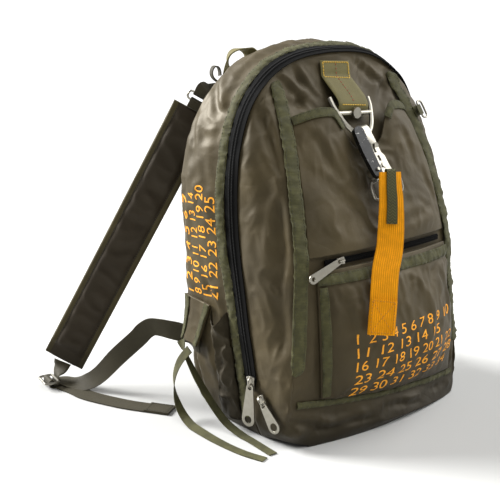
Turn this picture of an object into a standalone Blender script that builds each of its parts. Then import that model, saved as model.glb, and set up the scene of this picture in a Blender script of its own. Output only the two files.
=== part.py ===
"""Thin nylon daypack, styled like a parachute deployment bag, zipped shut and stuffed full.

The front faces -Y, the wearer's back +Y, and +Z is up.  The origin is the middle of the
flat base.  Sizes in this file are millimetres; MM turns them to metres at the end.
"""

import math
from collections import namedtuple

import bmesh
import bpy
from mathutils import Vector
from mathutils.bvhtree import BVHTree

MM = 0.001

# Driving sizes of the bag
BAG_HEIGHT = 443.0
RING_COUNT = 88          # points round each section of the stuffed body
SEAM_GAP = 0.4           # between the two halves of the body, under the zip
LAY_GAP = 1.0            # between a piece of cloth and the cloth that it lies on
LEAN = 0.033             # the stuffed bag slumps to its own right: rise per mm across, at the top
SEAM_TILT = 0.125        # the bottom seam sags the other way
FACE_CENTRE = 215.0

# Widths of the bought tapes and webbings
ZIP_WIDTH = 12.0
BINDING_WIDTH = 12.0
TAPE_WIDTH = 14.0
HANGER_WIDTH = 48.0
PULL_WIDTH = 31.0
KEEPER_WIDTH = 13.0
STRAP_WIDTH = 25.0
TIE_WIDTH = 11.0
WEBBING_THICK = 1.6
TAPE_THICK = 1.2
CLOTH_THICK = 1.2
FLOOR_GAP = 0.3          # under the webbings that lie on the floor
POCKET_GAP = 1.3         # under the wide pocket cloths, which bridge the troughs below them

# The stuffed bag spreads wider on its right, most of all low down
SpreadRow = namedtuple("SpreadRow", "height share")
SPREAD = (
    SpreadRow(height=0, share=0.115), SpreadRow(height=60, share=0.110), SpreadRow(height=130, share=0.100),
    SpreadRow(height=200, share=0.062), SpreadRow(height=260, share=0.055), SpreadRow(height=340, share=0.035),
    SpreadRow(height=443, share=0.010),
)

# Sections of the body behind the zip, from the back panel forward
Section = namedtuple("Section", "foot width spring top power corner low depth_low depth_high")
REAR_SECTIONS = (
    Section(foot=118, width=140, spring=270, top=432, power=2.43, corner=40, low=14, depth_low=83, depth_high=82),
    Section(foot=136, width=158, spring=270, top=448, power=2.43, corner=28, low=3, depth_low=78, depth_high=74),
    Section(foot=146, width=166, spring=270, top=454, power=2.43, corner=18, low=0, depth_low=62, depth_high=60),
    Section(foot=149, width=164, spring=270, top=455, power=2.50, corner=14, low=0, depth_low=22, depth_high=32),
    Section(foot=147, width=156, spring=270, top=450, power=2.60, corner=12, low=0, depth_low=-22, depth_high=9),
    Section(foot=143, width=150, spring=270, top=443, power=2.75, corner=12, low=0, depth_low=-50, depth_high=-8),
)

# The zip line, which the last of those sections follows
ZipRow = namedtuple("ZipRow", "height depth")
ZIP_LINE = (
    ZipRow(height=0, depth=-50), ZipRow(height=77, depth=-42), ZipRow(height=120, depth=-33),
    ZipRow(height=165, depth=-26), ZipRow(height=210, depth=-18), ZipRow(height=254, depth=-12),
    ZipRow(height=295, depth=-11), ZipRow(height=443, depth=-8),
)

# The edge of the front panel, under its two long tapes
EdgeRow = namedtuple("EdgeRow", "height width depth crown")
PANEL_EDGE = (
    EdgeRow(height=20, width=139, depth=-97, crown=18), EdgeRow(height=62, width=137, depth=-99, crown=16),
    EdgeRow(height=97, width=131, depth=-102, crown=12), EdgeRow(height=130, width=125, depth=-102, crown=9),
    EdgeRow(height=214, width=119, depth=-95, crown=8), EdgeRow(height=250, width=116, depth=-87, crown=8),
    EdgeRow(height=292, width=112, depth=-74, crown=7), EdgeRow(height=334, width=106, depth=-59, crown=5),
    EdgeRow(height=376, width=98, depth=-37, crown=3), EdgeRow(height=416, width=91, depth=-14, crown=3),
    EdgeRow(height=440, width=88, depth=-11, crown=3),
)
PANEL_TOP = 437.0
PANEL_CORNER_HEIGHT = 24.0
PANEL_SEAM_HEIGHT = 40.0
BELLY = 15.0             # how far the sagging bottom cloth stands out in front of its seam

# Soft troughs (depth below 0 is a ridge) in the stuffed cloth.
# "face" folds are at (across, height) on the front; "side" folds at (depth, height) on both sides.
Fold = namedtuple("Fold", "part across height length width angle depth")
FOLDS = (
    Fold(part="face", across=-62, height=300, length=90, width=16, angle=-58, depth=3.5),
    Fold(part="face", across=-70, height=255, length=80, width=15, angle=25, depth=3.0),
    Fold(part="face", across=52, height=285, length=80, width=15, angle=-62, depth=3.0),
    Fold(part="face", across=60, height=402, length=50, width=14, angle=-50, depth=2.5),
    Fold(part="face", across=-60, height=405, length=60, width=15, angle=35, depth=3.5),
    Fold(part="face", across=-128, height=330, length=70, width=12, angle=75, depth=3.0),
    Fold(part="face", across=-132, height=150, length=110, width=14, angle=85, depth=5.0),
    Fold(part="face", across=132, height=150, length=110, width=14, angle=-85, depth=4.0),
    Fold(part="face", across=134, height=300, length=80, width=14, angle=-80, depth=3.0),
    Fold(part="side", across=35, height=372, length=60, width=12, angle=70, depth=4.0),
    Fold(part="side", across=5, height=330, length=50, width=10, angle=60, depth=3.0),
    Fold(part="side", across=50, height=230, length=80, width=18, angle=-70, depth=2.5),
    Fold(part="side", across=10, height=150, length=70, width=14, angle=50, depth=4.0),
    Fold(part="back", across=-60, height=300, length=110, width=20, angle=70, depth=2.0),
    Fold(part="back", across=60, height=180, length=110, width=20, angle=-70, depth=2.0),
)

# Front pocket: how proud its filled front stands, by rows up the pocket
PocketRow = namedtuple("PocketRow", "height left right fill")
FRONT_POCKET = (
    PocketRow(height=48, left=-98, right=118, fill=3), PocketRow(height=62, left=-99, right=119, fill=14),
    PocketRow(height=86, left=-100, right=119, fill=22), PocketRow(height=112, left=-101, right=117, fill=25),
    PocketRow(height=140, left=-101, right=114, fill=24), PocketRow(height=166, left=-101, right=112, fill=19),
    PocketRow(height=184, left=-101, right=111, fill=13), PocketRow(height=198, left=-101, right=110, fill=8),
    PocketRow(height=206, left=-101, right=109, fill=5),
)

# Open slip pocket above it: how far its cloth stands off the front panel
SlipRow = namedtuple("SlipRow", "drop stand_off")
SLIP_POCKET = (
    SlipRow(drop=0.0, stand_off=17), SlipRow(drop=0.10, stand_off=15), SlipRow(drop=0.22, stand_off=11),
    SlipRow(drop=0.40, stand_off=7), SlipRow(drop=0.60, stand_off=6), SlipRow(drop=0.80, stand_off=8),
    SlipRow(drop=0.93, stand_off=9), SlipRow(drop=1.0, stand_off=7),
)
SLIP_BOTTOM = 222.0
SLIP_MOUTH = 372.0
SLIP_VALLEY = 44.0       # how far the middle of the mouth dips
SLIP_EDGE_INSET = 9.0

# Points down each tie from the wing that it is sewn to
TIES = {
    "left_flat": (
        (-176, 60, 97), (-177, 46, 80), (-174, 30, 58), (-169, 10, 34), (-163, -12, 13), (-157, -34, 3),
        (-155, -56, 1.2), (-156, -94, 1.2),
    ),
    "left_bowed": (
        (-178, 38, 92), (-187, 48, 74), (-189, 57, 50), (-189, 53, 27), (-189, 36, 9), (-189, 8, 1.3),
        (-187, -28, 1.0), (-181, -68, 1.0), (-171, -98, 1.0),
    ),
    "right_flat": (
        (193, 56, 97), (195, 50, 76), (197, 44, 50), (197, 36, 22), (196, 26, 4), (194, 10, 1.2), (191, -12, 1.2),
    ),
    "right_bowed": (
        (199, 38, 95), (208, 48, 70), (213, 60, 42), (214, 74, 16), (212, 88, 3), (210, 104, 1.2), (211, 124, 1.2),
    ),
}

# Colours are linear red, green, blue
OLIVE_NYLON = (0.105, 0.088, 0.055)
OLIVE_TAPE = (0.130, 0.140, 0.050)
DARK_WEBBING = (0.065, 0.056, 0.025)
BLACK_ZIP = (0.012, 0.012, 0.011)
ORANGE_WEBBING = (0.820, 0.330, 0.025)
PAD_NYLON = (0.040, 0.030, 0.022)
NICKEL = (0.720, 0.710, 0.680)
BLACK_STEEL = (0.020, 0.020, 0.020)


def blend_rows(rows, column, height):
    """Smooth value of a column at a height, from the named rows of a table."""
    if height <= rows[0][0]:
        return float(getattr(rows[0], column))
    if height >= rows[-1][0]:
        return float(getattr(rows[-1], column))
    index = max(i for i in range(len(rows) - 1) if rows[i][0] <= height)
    near = rows[index]
    far = rows[index + 1]
    before = rows[max(index - 1, 0)]
    after = rows[min(index + 2, len(rows) - 1)]
    span = far[0] - near[0]
    share = (height - near[0]) / span
    value_near = getattr(near, column)
    value_far = getattr(far, column)
    slope_near = (value_far - getattr(before, column)) / (far[0] - before[0]) * span
    slope_far = (getattr(after, column) - value_near) / (after[0] - near[0]) * span
    square = share * share
    cube = square * share
    return (
        (2 * cube - 3 * square + 1) * value_near
        + (cube - 2 * square + share) * slope_near
        + (3 * square - 2 * cube) * value_far
        + (cube - square) * slope_far
    )


def section_width(section, height):
    """Half width of a body section: tapered sides under a squared arch."""
    if height <= section.spring:
        share = max(height, 0.0) / section.spring
        ease = math.sin(math.radians(90 * share))
        return section.foot + (section.width - section.foot) * ease
    share = min((height - section.spring) / (section.top - section.spring), 1.0)
    return section.width * (1 - share ** section.power) ** (1 / section.power)


def panel_width(height):
    """Half width of the front panel, closed by a squared arch at its top."""
    start = PANEL_TOP - PANEL_CORNER_HEIGHT
    width = blend_rows(PANEL_EDGE, "width", min(height, start))
    if height <= start:
        return width
    share = min((height - start) / PANEL_CORNER_HEIGHT, 1.0)
    return width * (1 - share ** 2.2) ** (1 / 2.2)


def outline(width_at, low, top, corner):
    """Evenly spaced closed outline (across, height), from the bottom middle round by +X."""
    half = [(0.0, low)]
    reach = width_at(low + corner)
    for step in range(9):
        angle = math.radians(90 * step / 8)
        half.append((reach - corner + corner * math.sin(angle), low + corner - corner * math.cos(angle)))
    for step in range(1, 91):
        height = low + corner + (top - low - corner) * math.sin(math.radians(step))
        half.append((width_at(height), height))
    lengths = [0.0]
    for first, second in zip(half, half[1:]):
        lengths.append(lengths[-1] + math.dist(first, second))
    steps = RING_COUNT // 2
    even = []
    index = 0
    for step in range(steps + 1):
        wanted = lengths[-1] * step / steps
        while index < len(half) - 2 and lengths[index + 1] < wanted:
            index += 1
        span = lengths[index + 1] - lengths[index]
        share = (wanted - lengths[index]) / span if span > 0 else 0.0
        across = half[index][0] + (half[index + 1][0] - half[index][0]) * share
        height = half[index][1] + (half[index + 1][1] - half[index][1]) * share
        even.append((across, height))
    mirrored = [(-across, height) for across, height in reversed(even[1:-1])]
    return even + mirrored


def fold_depth(part, across, height):
    """Sum of the troughs of one part of the body at a place on it."""
    total = 0.0
    for fold in FOLDS:
        if fold.part != part:
            continue
        turn = math.radians(fold.angle)
        along = (across - fold.across) * math.cos(turn) + (height - fold.height) * math.sin(turn)
        beside = (height - fold.height) * math.cos(turn) - (across - fold.across) * math.sin(turn)
        total += fold.depth * math.exp(-((along / (fold.length / 2)) ** 2) - (beside / fold.width) ** 2)
    return total


def slump(point, tilt=0.0):
    """The whole bag leans to one side; the bottom seam is tilted by its own share."""
    across, depth, height = point
    rise = across * LEAN * 2 * max(height, 0.0) / BAG_HEIGHT
    rise -= across * SEAM_TILT * tilt * max(0.0, 1 - height / 200)
    widen = 1 + blend_rows(SPREAD, "share", height) if across > 0 else 1.0
    return Vector((across * widen, depth, height + rise))


def zip_depth(height):
    return blend_rows(ZIP_LINE, "depth", height)


def face_depth(across, height):
    """Depth of the front panel, crowned between its two edges."""
    width = blend_rows(PANEL_EDGE, "width", height)
    crown = blend_rows(PANEL_EDGE, "crown", height)
    edge = blend_rows(PANEL_EDGE, "depth", height)
    share = min(abs(across) / width, 1.0)
    return edge - crown * (1 - share * share) + fold_depth("face", across, height)


def rear_rings():
    """Sections from the middle of the back panel to the zip."""
    rings = []
    first = REAR_SECTIONS[0]
    shape = outline(lambda height: section_width(first, height), first.low, first.top, first.corner)
    for share in (0.28, 0.52, 0.78):
        ring = []
        for across, height in shape:
            x = across * share
            z = FACE_CENTRE + (height - FACE_CENTRE) * share
            ring.append(slump((x, 85.0 - fold_depth("back", x, z), z)))
        rings.append(ring)
    for section in REAR_SECTIONS:
        at_zip = section is REAR_SECTIONS[-1]
        ring = []
        for across, height in outline(
            lambda height: section_width(section, height), section.low, section.top, section.corner
        ):
            if at_zip:
                depth = zip_depth(height)
            else:
                share = min(height / BAG_HEIGHT, 1.0)
                depth = section.depth_low + (section.depth_high - section.depth_low) * share
            pull = 0.0 if at_zip else fold_depth("side", depth, height) * min(abs(across) / 100, 1.0)
            ring.append(slump((across - math.copysign(pull, across), depth, height)))
        rings.append(ring)
    return rings


def front_rings():
    """Sections from the zip over the shoulder to the middle of the front panel."""
    last = REAR_SECTIONS[-1]
    zip_ring = outline(lambda height: section_width(last, height), last.low, last.top, last.corner)
    panel_ring = outline(panel_width, PANEL_SEAM_HEIGHT, PANEL_TOP, 14.0)
    rings = []
    for share in (0.0, 0.10, 0.24, 0.42, 0.64, 0.84, 1.0):
        ring = []
        round_in = math.sqrt(1 - (1 - share) ** 2)
        round_up = 1 - math.sqrt(1 - share * share)
        for (zip_x, zip_z), (panel_x, panel_z) in zip(zip_ring, panel_ring):
            start = zip_depth(zip_z) - SEAM_GAP
            end = face_depth(panel_x, panel_z)
            low_part = max(0.0, min(1.0, (120 - panel_z) / 60))
            x = zip_x + (panel_x - zip_x) * share
            climb = round_up * low_part + share * (1 - low_part)
            z = zip_z + (panel_z - zip_z) * climb
            y = start + (end - start) * round_in
            y -= BELLY * low_part * math.sin(math.pi * share) * (1 - (panel_x / 175) ** 2)
            y += fold_depth("face", x, z) * math.sin(math.pi * share)
            point = slump((x, y, z), share)
            if zip_z < 1.0 and share < 0.6:
                point.z = 0.0
            point.z = max(point.z, 0.0)
            ring.append(point)
        rings.append(ring)
    for share in (0.88, 0.74, 0.58, 0.40, 0.20):
        ring = []
        for across, height in panel_ring:
            x = across * share
            z = FACE_CENTRE + (height - FACE_CENTRE) * share
            ring.append(slump((x, face_depth(x, z), z), 1.0))
        rings.append(ring)
    return rings


def ring_shell(rings, pole, cap_last):
    """Closed mesh: a pole, the rings, and a ladder of strips across the flat seam side."""
    verts = [pole]
    faces = []
    count = RING_COUNT
    for ring in rings:
        verts.extend(ring)
    for i in range(count):
        faces.append((0, 1 + i, 1 + (i + 1) % count))
    for k in range(len(rings) - 1):
        base = 1 + k * count
        for i in range(count):
            j = (i + 1) % count
            faces.append((base + i, base + count + i, base + count + j, base + j))
    base = 1 + (len(rings) - 1) * count
    if cap_last:
        for i in range(count // 2):
            left = [base + (count - i) % count, base + (count - i - 1) % count]
            right = [base + i + 1, base + i]
            loop = []
            for index in right + left:
                if index not in loop:
                    loop.append(index)
            if len(loop) > 2:
                faces.append(tuple(loop))
    return verts, faces


def make_look(name, colour, roughness, metallic):
    """One Principled material for one piece."""
    material = bpy.data.materials.new(name)
    material.use_nodes = True
    shader = material.node_tree.nodes["Principled BSDF"]
    shader.inputs["Base Color"].default_value = (*colour, 1.0)
    shader.inputs["Roughness"].default_value = roughness
    shader.inputs["Metallic"].default_value = metallic
    return material


def place(name, verts, faces, colour, roughness=0.7, metallic=0.0, origin=None, smooth=True):
    """Make a named object from points in millimetres, with its faces turned out."""
    origin = origin or Vector((0, 0, 0))
    mesh = bpy.data.meshes.new(name)
    work = bmesh.new()
    made = [work.verts.new((Vector(point) - origin) * MM) for point in verts]
    for face in faces:
        work.faces.new([made[index] for index in face])
    bmesh.ops.triangulate(work, faces=work.faces[:])
    bmesh.ops.recalc_face_normals(work, faces=work.faces[:])
    if work.calc_volume(signed=True) < 0:
        bmesh.ops.reverse_faces(work, faces=work.faces[:])
    work.to_mesh(mesh)
    work.free()
    mesh.materials.append(make_look(name, colour, roughness, metallic))
    if smooth:
        mesh.shade_smooth()
        mesh.set_sharp_from_angle(angle=math.radians(40))
    obj = bpy.data.objects.new(name, mesh)
    obj.location = origin * MM
    bpy.context.scene.collection.objects.link(obj)
    return obj


def ground_of(*objects):
    """Search tree, in millimetres, over the outside of finished objects, less the seam that the zip covers."""
    points = []
    triangles = []
    for obj in objects:
        start = len(points)
        points.extend((vertex.co + obj.location) / MM for vertex in obj.data.vertices)
        for face in obj.data.polygons:
            corners = [start + index for index in face.vertices]
            if any(abs(points[i].y - zip_depth(points[i].z)) > 1.6 for i in corners):
                triangles.append(corners)
    return BVHTree.FromPolygons(points, triangles)


def on_front(ground, across, height):
    """Place and outward direction on the front of the body, straight behind (across, height)."""
    found, normal, _, _ = ground.ray_cast(Vector((across, -400, height)), Vector((0, 1, 0)))
    return found, normal


def on_side(ground, side, depth, height):
    """Place on the left (-1) or right (+1) side of the body at (depth, height)."""
    found, normal, _, _ = ground.ray_cast(Vector((side * 400, depth, height)), Vector((-side, 0, 0)))
    return found, normal


def smooth_path(points, spacing):
    """Even points along a smooth curve through hand-placed points."""
    points = [Vector(point) for point in points]
    fine = []
    for i in range(len(points) - 1):
        before = points[max(i - 1, 0)]
        near = points[i]
        far = points[i + 1]
        after = points[min(i + 2, len(points) - 1)]
        for step in range(12):
            t = step / 12
            fine.append(
                0.5 * (
                    2 * near + (far - before) * t + (2 * before - 5 * near + 4 * far - after) * t * t
                    + (3 * near - before - 3 * far + after) * t ** 3
                )
            )
    fine.append(points[-1])
    lengths = [0.0]
    for first, second in zip(fine, fine[1:]):
        lengths.append(lengths[-1] + (second - first).length)
    count = max(2, round(lengths[-1] / spacing))
    even = []
    index = 0
    for step in range(count + 1):
        wanted = lengths[-1] * step / count
        while index < len(fine) - 2 and lengths[index + 1] < wanted:
            index += 1
        span = lengths[index + 1] - lengths[index]
        share = (wanted - lengths[index]) / span if span > 0 else 0.0
        even.append(fine[index].lerp(fine[index + 1], share))
    return even


def tangents(path):
    """Unit direction along a path at each of its points."""
    count = len(path)
    return [(path[min(i + 1, count - 1)] - path[max(i - 1, 0)]).normalized() for i in range(count)]


def skin_sections(sections):
    """Faces of a closed tube through equal loops of points, with both ends filled."""
    verts = [point for section in sections for point in section]
    size = len(sections[0])
    faces = []
    for k in range(len(sections) - 1):
        for i in range(size):
            j = (i + 1) % size
            faces.append((k * size + i, k * size + j, (k + 1) * size + j, (k + 1) * size + i))
    faces.append(tuple(range(size)))
    faces.append(tuple((len(sections) - 1) * size + i for i in range(size)))
    return verts, faces


def laid_band(name, path, width, thick, ground, colour, lift=LAY_GAP, spans=1, spacing=14.0, roughness=0.75):
    """A tape that lies on the body along a path, following it across its width too."""
    path = smooth_path(path, spacing)
    seats = [ground.find_nearest(point) for point in path]
    spots = [seat[0] for seat in seats]
    normals = [seat[1] for seat in seats]
    count = len(path)
    soft = []
    for i in range(count):
        total = normals[max(i - 1, 0)] + normals[i] * 2 + normals[min(i + 1, count - 1)]
        soft.append(total.normalized())
    sections = []
    for spot, normal, direction in zip(spots, soft, tangents(spots)):
        beside = normal.cross(direction).normalized()
        inner = []
        outer = []
        for step in range(spans + 1):
            offset = width * (step / spans - 0.5)
            found, local, _, _ = ground.find_nearest(spot + beside * offset)
            out = (local + normal).normalized()
            inner.append(found + out * lift)
            outer.append(found + out * (lift + thick))
        sections.append(inner + outer[::-1])
    verts, faces = skin_sections(sections)
    return place(name, verts, faces, colour, roughness)


def ribbon(name, path, beside, width, thick, colour, spacing=10.0, roughness=0.75, crown=False, smooth=True):
    """A strip of webbing (or a padded strap) in the air along a path; beside points across it."""
    if smooth:
        path = smooth_path(path, spacing)
    else:
        path = [Vector(point) for point in path]
    count = len(path)
    sections = []
    for i, (spot, direction) in enumerate(zip(path, tangents(path))):
        share = i / (count - 1)
        if callable(beside):
            across = beside(share)
        elif isinstance(beside, list):
            across = beside[i]
        else:
            across = Vector(beside)
        across = (across - direction * across.dot(direction)).normalized()
        out = direction.cross(across).normalized()
        half_width = width / 2
        half_thick = thick / 2
        if crown:
            from_end = min(share, 1 - share) / PAD_END_SHARE
            half_thick *= PAD_END_THICK + (1 - PAD_END_THICK) * math.sin(math.radians(90 * min(from_end, 1.0)))
            shape = [(-1, -0.45), (-0.82, -0.9), (0, -1), (0.82, -0.9), (1, -0.45),
                     (1, 0.45), (0.82, 0.9), (0, 1), (-0.82, 0.9), (-1, 0.45)]
        else:
            shape = [(-1, -1), (1, -1), (1, 1), (-1, 1)]
        section = [spot + across * half_width * a + out * half_thick * b for a, b in shape]
        sunk = FLOOR_GAP - min(point.z for point in section)
        if sunk > 0:
            section = [point + Vector((0, 0, sunk)) for point in section]
        sections.append(section)
    verts, faces = skin_sections(sections)
    return place(name, verts, faces, colour, roughness)


def faces_of(path, sides):
    """Outward direction of a ribbon at each point of its path."""
    made = []
    for side, direction in zip(sides, tangents(path)):
        out = direction.cross(side).normalized()
        made.append(-out if out.y > 0 else out)
    return made


def edge_strip(name, seats, lifts, thicks, lines, lift=0.5):
    """Binding on a patch: each line is a row of (row, column) places on it, whole or part way between."""
    def blend(grid, r, c):
        r0 = min(int(r), len(grid) - 2)
        c0 = min(int(c), len(grid[0]) - 2)
        low = grid[r0][c0] * (1 - c + c0) + grid[r0][c0 + 1] * (c - c0)
        high = grid[r0 + 1][c0] * (1 - c + c0) + grid[r0 + 1][c0 + 1] * (c - c0)
        return low * (1 - r + r0) + high * (r - r0)

    count_r = len(seats)
    count_c = len(seats[0])
    normals = [[seats[r][c][1] for c in range(count_c)] for r in range(count_r)]
    outer = [
        [seats[r][c][0] + seats[r][c][1] * (lifts[r][c] + thicks[r][c]) for c in range(count_c)]
        for r in range(count_r)
    ]
    grid = [[(blend(outer, r, c), blend(normals, r, c).normalized()) for r, c in line] for line in lines]
    size = len(lines[0])
    return cloth_patch(
        name, len(lines), grid, [[lift] * size] * len(lines), [[1.1] * size] * len(lines), OLIVE_TAPE,
    )


def cloth_patch(name, rows, ground_points, lifts, thicks, colour):
    """A closed sheet or filled pocket over a grid of seats; lifts and thicks are per grid point."""
    columns = len(ground_points[0])
    inner = []
    outer = []
    for r in range(rows):
        for c in range(columns):
            spot, normal = ground_points[r][c]
            inner.append(spot + normal * lifts[r][c])
            outer.append(spot + normal * (lifts[r][c] + thicks[r][c]))
    verts = inner + outer
    shift = rows * columns
    faces = []
    for r in range(rows - 1):
        for c in range(columns - 1):
            a = r * columns + c
            quad = (a, a + 1, a + columns + 1, a + columns)
            faces.append(quad)
            faces.append(tuple(shift + index for index in reversed(quad)))
    rim = [c for c in range(columns)]
    rim += [r * columns + columns - 1 for r in range(1, rows)]
    rim += [(rows - 1) * columns + c for c in range(columns - 2, -1, -1)]
    rim += [r * columns for r in range(rows - 2, 0, -1)]
    for k, index in enumerate(rim):
        following = rim[(k + 1) % len(rim)]
        faces.append((index, following, shift + following, shift + index))
    return place(name, verts, faces, colour, 0.6)


def rod(name, path, radius, colour, closed=False, sides=8, metallic=1.0, roughness=0.25, spacing=4.0, smooth=True):
    """Round wire along a path, with filled ends or joined into a ring."""
    if smooth:
        path = smooth_path(list(path) + [path[0]] if closed else path, spacing)
        if closed:
            path = path[:-1]
    else:
        path = [Vector(point) for point in path]
    count = len(path)
    sections = []
    reference = None
    for i in range(count):
        if closed:
            direction = (path[(i + 1) % count] - path[i - 1]).normalized()
        else:
            direction = (path[min(i + 1, count - 1)] - path[max(i - 1, 0)]).normalized()
        if reference is None:
            reference = direction.orthogonal().normalized()
        reference = (reference - direction * reference.dot(direction)).normalized()
        other = direction.cross(reference)
        ring = []
        for k in range(sides):
            angle = 2 * math.pi * k / sides
            ring.append(path[i] + (reference * math.cos(angle) + other * math.sin(angle)) * radius)
        sections.append(ring)
    verts, faces = skin_sections(sections)
    if closed:
        faces = faces[:-2]
        last = (count - 1) * sides
        twist = min(range(sides), key=lambda k: (sections[-1][0] - sections[0][k]).length)
        for i in range(sides):
            j = (i + 1) % sides
            faces.append((last + i, last + j, (j + twist) % sides, (i + twist) % sides))
    return place(name, verts, faces, colour, roughness, metallic)


def plate(name, shape, thick, frame, colour, roughness=0.25, metallic=1.0, origin=None):
    """An outline (a, b) in a frame of three axes, thickened along the third one."""
    origin_point, axis_a, axis_b, axis_c = frame
    low = [origin_point + axis_a * a + axis_b * b for a, b in shape]
    high = [point + axis_c * thick for point in low]
    count = len(shape)
    faces = [tuple(range(count)), tuple(range(count, 2 * count))]
    faces += [(i, (i + 1) % count, count + (i + 1) % count, count + i) for i in range(count)]
    return place(name, low + high, faces, colour, roughness, metallic, origin=origin)


def circle(centre_a, centre_b, radius, steps=16, start=0.0, sweep=360.0):
    """Points (a, b) on a circle or an arc."""
    count = steps if sweep >= 360 else steps + 1
    points = []
    for k in range(count):
        angle = math.radians(start + sweep * k / steps)
        points.append((centre_a + radius * math.cos(angle), centre_b + radius * math.sin(angle)))
    return points


def combine(target, tool, operation):
    """Cut or join one solid with another by an exact Boolean that stays as a modifier."""
    tool.hide_render = True
    tool.display_type = "WIRE"
    boolean = target.modifiers.new(tool.name, "BOOLEAN")
    boolean.operation = operation
    boolean.solver = "EXACT"
    boolean.object = tool


def clear_scene():
    for obj in list(bpy.data.objects):
        bpy.data.objects.remove(obj, do_unlink=True)


def build_body():
    """The stuffed bag, as two filled halves that meet under the main zip."""
    rings = rear_rings()
    verts, faces = ring_shell(rings, slump((0, 85.5, FACE_CENTRE)), True)
    rear = place("body_rear", verts, faces, OLIVE_NYLON, 0.45)
    rings = front_rings()[::-1]
    verts, faces = ring_shell(rings, slump((0, face_depth(0, FACE_CENTRE), FACE_CENTRE)), True)
    front = place("body_front", verts, faces, OLIVE_NYLON, 0.45)
    return rear, front


def zip_path(shift, lowest):
    """Points round the arch of the main zip, from low on the left to low on the right."""
    last = REAR_SECTIONS[-1]
    half = []
    for height in [lowest + k * (last.spring - lowest) / 6 for k in range(7)]:
        half.append((section_width(last, height), height))
    for degrees in (12, 25, 38, 50, 61, 71, 80):
        height = last.spring + (last.top - last.spring) * math.sin(math.radians(degrees))
        half.append((section_width(last, height), height))
    left = [slump((-across, zip_depth(height) + shift, height)) for across, height in half]
    right = [slump((across, zip_depth(height) + shift, height)) for across, height in reversed(half)]
    return left + [slump((0, zip_depth(last.top) + shift, last.top))] + right


def build_main_zip(body):
    laid_band("main_zip", zip_path(-1.0, 62), ZIP_WIDTH, TAPE_THICK, body, BLACK_ZIP, lift=1.4, spans=2)
    laid_band("zip_binding", zip_path(14.0, 24), BINDING_WIDTH, TAPE_THICK, body, OLIVE_TAPE, lift=1.7)


def build_front_tapes(body):
    for side, name in ((-1, "front_tape_left"), (1, "front_tape_right")):
        path = []
        for height in (82, 92, 106, 130, 170, 214, 250, 292, 334, 376, 398, 411):
            width = blend_rows(PANEL_EDGE, "width", height) - 5 * max(0.0, (125 - height) / 50)
            path.append(slump((side * width, face_depth(width, height), height), 1.0))
        laid_band(name, path, TAPE_WIDTH, TAPE_THICK, body, OLIVE_TAPE, lift=1.8, spans=2)
    path = []
    for share in (-1, -0.75, -0.5, -0.25, 0, 0.25, 0.5, 0.75, 1):
        across = 128 * share
        path.append(slump((across, face_depth(across, PANEL_SEAM_HEIGHT), PANEL_SEAM_HEIGHT + 2), 1.0))
    laid_band("base_seam_binding", path, 8.0, 1.4, body, OLIVE_TAPE, spans=1)


def build_front_pocket(front, body):
    """Zipped and filled pocket, its coil zip above it, and its bindings."""
    columns = 17
    seats = []
    lifts = []
    thicks = []
    for row in FRONT_POCKET:
        seat_row = []
        lift_row = []
        thick_row = []
        for c in range(columns):
            share = c / (columns - 1)
            across = row.left + (row.right - row.left) * share
            target = slump((across, 0, row.height), 1.0)
            seat_row.append(on_front(front, target.x, target.z))
            lift_row.append(POCKET_GAP)
            bulge = (1 - abs(2 * share - 1) ** 3.5)
            ripple = 1.0 + 0.07 * math.sin(share * 23.0 + row.height * 0.05)
            thick_row.append(2.0 + row.fill * bulge * ripple)
        seats.append(seat_row)
        lifts.append(lift_row)
        thicks.append(thick_row)
    pocket = cloth_patch("front_pocket", len(FRONT_POCKET), seats, lifts, thicks, OLIVE_NYLON)
    across_all = range(columns)
    edge_strip("pocket_top_binding", seats, lifts, thicks, [[(r, c) for c in across_all] for r in (6.4, 7.0, 7.5)])
    up_all = (0.3, 1, 2, 3, 4, 5, 6, 6.25)
    edge_strip("pocket_side_binding", seats, lifts, thicks, [[(r, c) for r in up_all] for c in (0.05, 0.72)], 1.2)
    top = FRONT_POCKET[-1]
    path = []
    for share in (0.055, 0.17, 0.33, 0.5, 0.67, 0.83, 0.95):
        across = top.left + (top.right - top.left) * share
        path.append(slump((across, -112 + 12 * abs(2 * share - 1) ** 2, top.height + 8.5), 1.0))
    zip_tape = laid_band("pocket_zip", path, 7.0, 1.6, ground_of(*body), BLACK_ZIP, spans=1, spacing=14)
    return zip_tape


def build_slip_pocket(front):
    """Open pocket on the upper front, its mouth gaping on both sides of a middle pleat."""
    columns = 19
    drops = SLIP_POCKET
    seats = []
    lifts = []
    thicks = []
    for row in drops:
        seat_row = []
        lift_row = []
        thick_row = []
        for c in range(columns):
            share = 2 * c / (columns - 1) - 1
            valley = math.exp(-((share - 0.04) / 0.38) ** 4)
            mouth = SLIP_MOUTH - SLIP_VALLEY * valley
            height = mouth + (SLIP_BOTTOM - mouth) * row.drop
            across = share * (blend_rows(PANEL_EDGE, "width", height) - SLIP_EDGE_INSET)
            target = slump((across, 0, height), 1.0)
            seat_row.append(on_front(front, target.x, target.z))
            edge = (1 - abs(share) ** 5)
            flat = 1 - valley * (1 - row.drop * 0.75)
            lift_row.append(POCKET_GAP + row.stand_off * edge * flat)
            thick_row.append(CLOTH_THICK)
        seats.append(seat_row)
        lifts.append(lift_row)
        thicks.append(thick_row)
    cloth_patch("slip_pocket", len(drops), seats, lifts, thicks, OLIVE_NYLON)
    for name, first, last in (("left", 0, 6), ("right", 13, columns - 1)):
        lines = [[(r, c) for c in range(first, last + 1)] for r in (0.04, 0.65)]
        edge_strip("slip_binding_" + name, seats, lifts, thicks, lines)


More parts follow.
